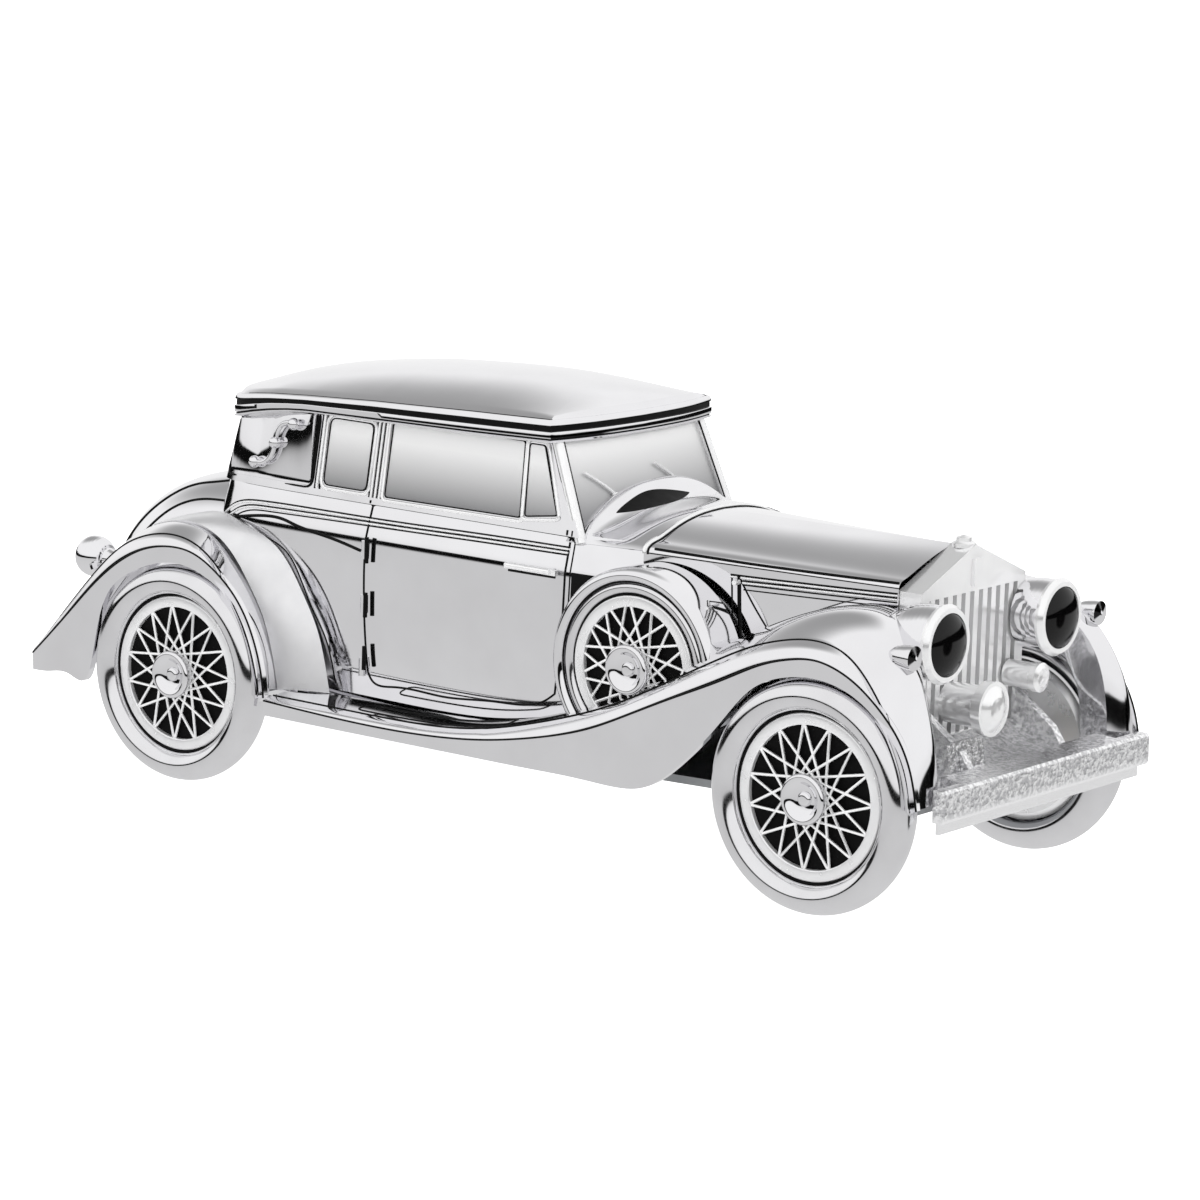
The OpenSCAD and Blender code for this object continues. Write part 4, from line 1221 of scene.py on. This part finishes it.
# The rear quarter is a raised panel: upright below a curve, and leaning in above it
quarter = {
    "corners": [(-41.4, 47.7), (-60.0, 47.6), (-58.6, 56.4), (-41.4, 59.3)], "foot": 48.2,
    "upright": 0.03, "lean": 0.2, "turn": 1.5,
    "curve": [(-61, 51.0), (-57.5, 51.5), (-55.2, 51.3), (-52.9, 50.8), (-50.6, 52.2), (-48.7, 54.2),
              (-46.6, 55.9), (-44.2, 56.1), (-42.6, 57.0), (-41.2, 59.2)],
}


def quarterPlace(u, w):
    (x0, z0), (x1, z1), (x2, z2), (x3, z3) = quarter["corners"]
    x = (x0 * (1 - u) + x1 * u) * (1 - w) + (x3 * (1 - u) + x2 * u) * w
    z = (z0 * (1 - u) + z1 * u) * (1 - w) + (z3 * (1 - u) + z2 * u) * w
    turnZ = np.interp(x, [p[0] for p in quarter["curve"]], [p[1] for p in quarter["curve"]])
    foot = touch(bodyPanels, at(x, -45, quarter["foot"]), (0, 1, 0))[0]
    wall = touch(bodyPanels, at(x, -45, z), (0, 1, 0))[0]
    d = z - turnZ
    leaning = 0.5 * (d + (d * d + quarter["turn"] ** 2) ** 0.5)
    fall = quarter["upright"] * (z - quarter["foot"]) + quarter["lean"] * leaning
    y = max(-foot.y / mm - fall + 0.1, -wall.y / mm + 0.12)
    if u in (0, 1) or w in (0, 1):
        y = -wall.y / mm - 0.3
    return at(x, -y, z)


quarterPanel = shapedGrid("rightQuarter", 70, 46, quarterPlace)
faceAwayFrom(quarterPanel, at(-50, 0, 53))
bpy.context.view_layer.update()
irons = {
    "balls": [(-45.1, 57.1), (-48.7, 53.8), (-52.9, 50.3)], "ballRadius": 0.95, "rodRadius": 0.42,
    "links": [[(-45.1, 57.1), (-47.2, 56.7), (-48.3, 55.5), (-48.7, 53.8)],
              [(-48.7, 53.8), (-49.1, 52.2), (-50.5, 50.6), (-52.9, 50.3)]],
}
ballOutline = [(0.0, 0.0)] + [(sin(t * pi / 12), 1 - cos(t * pi / 12)) for t in range(1, 12)] + [(0.0, 2.0)]
ironPieces = []
for i, (x, z) in enumerate(irons["balls"]):
    r = irons["ballRadius"]
    ball = turned(f"ironBall{i}", [(a * r, b * r) for a, b in ballOutline], 28)
    seat = touch(quarterPanel, at(x, -45, z), (0, 1, 0))[0]
    ballAt = seat + Vector((0, 0.15 * mm, 0))
    ball.data.transform(Matrix.Translation(ballAt) @ Matrix.Rotation(pi / 2, 4, "X"))
    ironPieces.append(ball)
for i, link in enumerate(irons["links"]):
    ironPieces.append(rod(f"ironLink{i}", laid(quarterPanel, along(link, 24), 0.75), irons["rodRadius"], 4))
ironsRight = joined("rightIrons", ironPieces)
ironsLeft = copyOf(ironsRight, "leftIrons", mirrorY)
hand(ironsRight, silver, "bright_trim", carBody, ["hood_irons"], 60)
hand(ironsLeft, silver, "bright_trim", carBody, (), 60)
ring = rounded([(-41.3, 47.6), (-60.3, 47.4), (-59.0, 57.2), (-41.3, 59.4)], 1.6)
seam("quarterEdge", laid(bodyPanels, ring, 0.08), 0.17, True)
quarterLeft = copyOf(quarterPanel, "leftQuarter", mirrorY)
hand(quarterPanel, silver, "plated_casting", carBody, (), 60)
hand(quarterLeft, silver, "plated_casting", carBody, (), 60)

# Lines in side view, from end to end, drawn as black rods: painted shade and painted reflection
mouldings = {
    "beltTop": [(8.7, 44.85), (-6, 44.8), (-24, 44.5), (-42, 44.4), (-52, 44.2), (-57.5, 43.2),
                (-60.2, 41.4)],
    "beltMiddle": [(8.6, 44.3), (-6, 44.2), (-24, 43.9), (-42, 43.7), (-51, 43.5), (-56.5, 42.6),
                   (-59.0, 41.0)],
    "beltLow": [(8.6, 43.7), (-6, 43.6), (-24, 43.3), (-42, 43.0), (-50, 42.8), (-55.5, 42.0),
                (-57.8, 40.7)],
    "fairing": [(-58.5, 40.7), (-52, 41.9), (-46.6, 42.0), (-44.2, 41.5), (-37, 40.5), (-30.6, 39.3)],
    "fairingFoot": [(-55, 39.2), (-45.4, 36.9), (-40.6, 29.7), (-37.3, 24.5), (-35.7, 17.7)],
    "doorFoot": [(-28.9, 20.5), (-28.2, 19.3), (-24, 18.9), (-14, 18.9), (-4, 19.7), (5.4, 21.3),
                 (7.2, 22.6)],
    "doorRear": [(-29.3, 47.2), (-29.7, 40), (-29.6, 30), (-28.9, 20.5)],
    "doorFront": [(8.5, 47.5), (8.5, 38), (8.1, 30), (7.2, 22.6)],
    "sideFront": [(9.4, 47.5), (9.4, 38), (9.2, 32)],
}
mouldingRadius = {
    "beltTop": 0.12, "beltMiddle": 0.12, "beltLow": 0.12, "fairing": 0.26, "fairingFoot": 0.12,
    "doorFoot": 0.17,
    "doorRear": 0.17, "doorFront": 0.17, "sideFront": 0.12,
}
for key, points in mouldings.items():
    seam("line" + key, laid(bodyPanels, along(points, 80), 0.0), mouldingRadius[key])
# The far edge of each hinge, and the corner between the scuttle and the spare wheel, are painted black:
# painted shade and painted reflection
hingeShades = {"x": -28.7, "ends": [(42.0, 37.4), (33.4, 29.0), (25.1, 20.8)], "radius": 0.34}
for top, foot in hingeShades["ends"]:
    seam("hingeShade", [at(hingeShades["x"], -21.3, z) for z in np.linspace(top - 0.3, foot + 0.3, 5)],
         hingeShades["radius"])
corner = {"top": [(9.7, 41.3), (14.6, 41.3)], "foot": [(9.7, 33.6), (10.3, 33.6)]}


def cornerPlace(u, w):
    top = np.array(corner["top"][0]) * (1 - u) + np.array(corner["top"][1]) * u
    foot = np.array(corner["foot"][0]) * (1 - u) + np.array(corner["foot"][1]) * u
    x, z = top * (1 - w) + foot * w
    place, normal = touch(bodyPanels, at(x, -45, z), (0, 1, 0))
    return place + normal * 0.04 * mm


bpy.context.view_layer.update()
cornerShade = shapedGrid("scuttleCornerShade", 12, 12, cornerPlace)
faceAwayFrom(cornerShade, at(10, 0, 30))
cornerLeft = copyOf(cornerShade, "leftScuttleCornerShade", mirrorY)
for piece in (cornerShade, cornerLeft):
    hand(piece, paintedShadeMetal, "plated_casting", carBody, (), 60)
for key in ("beltTop", "beltMiddle"):
    lower = [(x, z - 0.3) for x, z in along(mouldings[key], 80)]
    bright("bead" + key, laid(bodyPanels, lower, -0.02), 0.2)
for x in (-29.3, -28.5, -27.7):
    bright("rib", laid(bodyPanels, between([(x, 47.6), (x, 59.9)], 1.5), 0.05), 0.26)
# dark gaps between the ribs: painted shade
for x in (-29.75, -28.9, -28.1, -27.3, -40.75, -39.75):
    seam("ribGap", laid(bodyPanels, between([(x, 47.6), (x, 59.9)], 1.5), 0.04), 0.12)
bright("quarterPost", laid(bodyPanels, between([(-40.25, 47.8), (-40.25, 59.8)], 1.5), 0.05), 0.3)
for points in bootReflectionLines:
    seam("bootReflectionLine", laid(bootPanel, along(points, 60), 0.0), 0.2)

# Door handle: a bar along the belt with a ball at its front end
handle = {"bar": [(-1.8, 41.1), (6.6, 41.1)], "radius": 0.42}
bright("handleBar", [at(x, -21.2, z) for x, z in between(handle["bar"], 2)], handle["radius"])
bright("handlePost", [at(6.4, -20.2, 41.1), at(6.4, -21.3, 41.1)], 0.5)
bright("handlePost", [at(-1.4, -20.2, 41.1), at(-1.4, -21.3, 41.1)], 0.4)
seam("handleShade", laid(bodyPanels, between([(-1.8, 40.2), (6.8, 40.2)], 1), 0.0), 0.2)

# Step pad: a raised loop on the running board, drawn as a black rod: painted shade
bpy.context.view_layer.update()
stepLoop = rounded([(-26, -22.6), (3.0, -22.6), (3.8, -26.2), (-26, -26.2)], 1.4)
seam("stepLoop", laid(wingRight, between(stepLoop + stepLoop[:1], 0.8), 0.0, "above"), 0.14)

# Windscreen: one bowed pane the full width of the car, between bright pillars
screen = {"foot": 46.2, "head": 60.8, "bow": 1.7, "footHalf": 18.6, "headHalf": 17.3, "set": 0.5}


def screenPoint(across, z, lift=0.0):
    t = (z - screen["foot"]) / (screen["head"] - screen["foot"])
    half = screen["footHalf"] + (screen["headHalf"] - screen["footHalf"]) * t
    return at(pillarX(z) - screen["set"] + lift + screen["bow"] * (1 - across ** 2), half * across, z)


screenPane = shapedGrid("windscreenPane", 40, 20, lambda u, w: screenPoint(
    2 * u - 1, screen["foot"] + (screen["head"] - screen["foot"]) * w))
faceAwayFrom(screenPane, at(-20, 0, 50))
hand(screenPane, screenMetal, "satin_window", carBody, ["windscreen"], 60)
pillar = [screenPoint(-1, z) for z in np.linspace(45.6, 61, 20)]
bright("pillar", [p + Vector((0.1 * mm, -0.25 * mm, 0)) for p in pillar], 0.85)
# black rods either side of the pillar: painted shade and painted reflection
seam("pillarInner", [p + Vector((0.62 * mm, 0.5 * mm, 0)) for p in pillar], 0.13)
seam("pillarOuter", [p + Vector((-0.75 * mm, -0.5 * mm, 0)) for p in pillar], 0.15)
blades = []
for y in (-9.6, 6.4):
    across = [(y - 5.2 * t) / 18.0 for t in np.linspace(0, 1, 12)]
    blades.append(rod("wiperBlade", [screenPoint(a, 51.8 + 3.6 * t ** 0.8, 0.45)
                                     for a, t in zip(across, np.linspace(0, 1, 12))], 0.22, 3))
    blades.append(turned("wiperPivot", [(0, 0), (0.55, 0), (0.6, 0.3), (0.4, 0.7), (0, 0.8)], 20))
    pivotAt = screenPoint(y / 18, 51.6, 0.2)
    blades[-1].data.transform(Matrix.Translation(pivotAt) @ Matrix.Rotation(pi / 2.6, 4, "Y"))
hand(joined("wiperBlades", blades), trimMetal, "bright_trim", carBody, ["wipers"], 60)

# Rear window: one pane across the back
bpy.context.view_layer.update()
ring = rounded([(-8, 50.2), (8, 50.2), (7.6, 56.6), (-7.6, 56.6)], 1.4)
rearPane = slab("rearPane", laid(bodyPanels, ring, 0.1, "rear"), Vector((0.6 * mm, 0, 0)))
hand(rearPane, windowMetal, "satin_window", carBody, ["rear_window"], 30)
# the rear pane's edge as a black rod: painted shade
rearEdge = rod("rearPaneEdge", laid(bodyPanels, ring, 0.12, "rear"), 0.13, 2, True)
hand(rearEdge, paintedShadeMetal, "plated_casting", carBody, (), 60)
print("windows and mouldings ready")

# ---- bonnet details ----

# black rods along the bonnet: painted shade and painted reflection
bonnetLines = {
    "shoulder": {"view": "above", "points": [(23.5, -18.1), (40, -16.4), (63.4, -13.6)], "radius": 0.22},
    "sideTop": {"view": "side", "points": [(36.4, 44.3), (50, 44.5), (63.4, 44.8)], "radius": 0.12},
    "sideMiddle": {"view": "side", "points": [(38.4, 43.6), (50, 43.9), (63.4, 44.2)], "radius": 0.12},
    "sideLow": {"view": "side", "points": [(38.4, 43.0), (50, 43.2), (63.4, 43.5)], "radius": 0.12},
    "sideFoot": {"view": "side", "points": [(38.6, 42.3), (50, 42.5), (63.4, 42.8)], "radius": 0.1},
    "postRear": {"view": "side", "points": [(36.6, 44.2), (36.9, 38.5), (37.4, 33)], "radius": 0.13},
    "post": {"view": "side", "points": [(37.8, 44.2), (38.0, 40), (38.4, 34)], "radius": 0.3},
    "strut": {"view": "side", "points": [(38.0, 43.8), (40, 40.7), (43.6, 36)], "radius": 0.13},
}
for key, line in bonnetLines.items():
    path = laid(bonnet, along(line["points"], 40), 0.02, line["view"])
    seam("bonnet" + key, path, line["radius"])
for key in ("sideTop", "sideMiddle"):
    lower = [(x, z - 0.32) for x, z in along(bonnetLines[key]["points"], 40)]
    bright("bonnetBead" + key, laid(bonnet, lower, -0.02), 0.2)
bright("bonnetCornerStud", [at(37.9, -18.2, 43.4), at(37.9, -17, 43.4)], 0.4)
rearHoop = [at(22.0, y, z + 0.1) for y, z in (tuple(bonnetEnds[0](t)) for t in np.linspace(0, 1, 40))]
hoop = [Vector((p.x, -p.y, p.z)) for p in reversed(rearHoop)] + rearHoop[1:]
hand(rod("bonnetHoop", hoop, 0.42, 4), trimMetal, "bright_trim", carBody, (), 60)
# a black rod behind the hoop: painted shade in the gap
hand(rod("bonnetHoopGap", [p + Vector((0.5 * mm, 0, -0.1 * mm)) for p in hoop], 0.14, 2), paintedShadeMetal,
     "plated_casting", carBody, (), 60)

# The scuttle's valley in front of the windscreen, painted dark as painted reflection and shade: its middle
# line as (across, along)
valley = [(-13.0, 12.4), (-10.0, 13.2), (-6.0, 13.7), (-2.0, 13.9), (3.4, 13.7)]
bpy.context.view_layer.update()
valleyPath = []
for y, x in along(valley, 30):
    met = touch(bodyPanels, at(x, y, 90), (0, 0, -1))
    valleyPath.append(met[0])
valleyHalf = 1.6  # half its width at the middle
valleyWidths = [max(0.05, valleyHalf * sin(pi * i / 29) ** 0.8) for i in range(30)]


def valleyPlace(u, w):
    i = round(w * 29)
    p = valleyPath[i] + Vector(((u - 0.5) * 2 * valleyWidths[i] * mm, 0, 0))
    met = touch(bodyPanels, p + Vector((0, 0, 0.03)), (0, 0, -1))
    return met[0] + Vector((0, 0, 0.03 * mm))


valleyShade = shapedGrid("scuttleValleyShade", 8, 29, valleyPlace)
faceAwayFrom(valleyShade, at(12, 0, 30))
hand(valleyShade, paintedShadeMetal, "plated_casting", carBody, (), 60)

# ---- lamps ----

lensOutline = [(5.0, 0.0), (4.95, 0.45), (4.6, 1.0), (4.0, 1.5), (3.1, 1.95), (2.0, 2.25), (1.0, 2.4),
               (0.0, 2.45)]
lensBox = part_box("headlamp_lenses")
lenses = []
for side in (-1, 1):
    lens = turned("lampLens", lensOutline, 64)
    lensAcross = side * (lensBox[1].y - 4.6 * mm)
    centre = Vector((lensBox[1].x - 2.3 * mm, lensAcross, (lensBox[0].z + lensBox[1].z) / 2))
    lens.data.transform(Matrix.Translation(centre) @ Matrix.Rotation(pi / 2, 4, "Y"))
    lenses.append(lens)
hand(joined("headlampGlasses", lenses), lampEnamel, "black_enamel", carBody, ["headlamp_lenses"], 60)

rightTrim = joined("rightTrim", brightRight)
leftTrim = copyOf(rightTrim, "leftTrim", mirrorY)
hand(rightTrim, trimMetal, "bright_trim", carBody, (), 60)
hand(leftTrim, trimMetal, "bright_trim", carBody, (), 60)
# the black rods, joined: painted shade and painted reflection
panelShadeLines = joined("rightSeams", shadeLinesRight)
leftSeams = copyOf(panelShadeLines, "leftSeams", mirrorY)
for piece in (panelShadeLines, leftSeams):
    hand(piece, paintedShadeMetal, "plated_casting", carBody, (), 60)
print("trim and seams ready")

# ---- other CAD pieces keep their shape, and get their finish ----

carried = {
    "radiator_shell": trimMetal, "radiator_vanes": trimMetal, "radiator_cap": trimMetal,
    "headlamp_shells": silver, "headlamp_rims": trimMetal, "side_lamps": silver, "driving_lamp": trimMetal,
    "driving_lamp_lens": trimMetal, "horn": trimMetal, "front_apron": stippledMetal,
    "bumper": stippledMetal,
    "number_plate": stippledMetal, "door_handles": trimMetal, "door_hinges": silver,
    "tail_lamps": silver, "rear_plate_box": silver, "spare_discs": blackEnamel, "base_plate": zincMetal,
    "base_screws": steelMetal, "axle_bushes": brassMetal, "front_axle": steelMetal, "rear_axle": steelMetal,
    "front_right_disc": blackEnamel, "front_left_disc": blackEnamel, "rear_right_disc": blackEnamel,
    "rear_left_disc": blackEnamel,
}
for name, finish in carried.items():
    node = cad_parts[name]
    node.data.materials.clear()
    node.data.materials.append(finish)
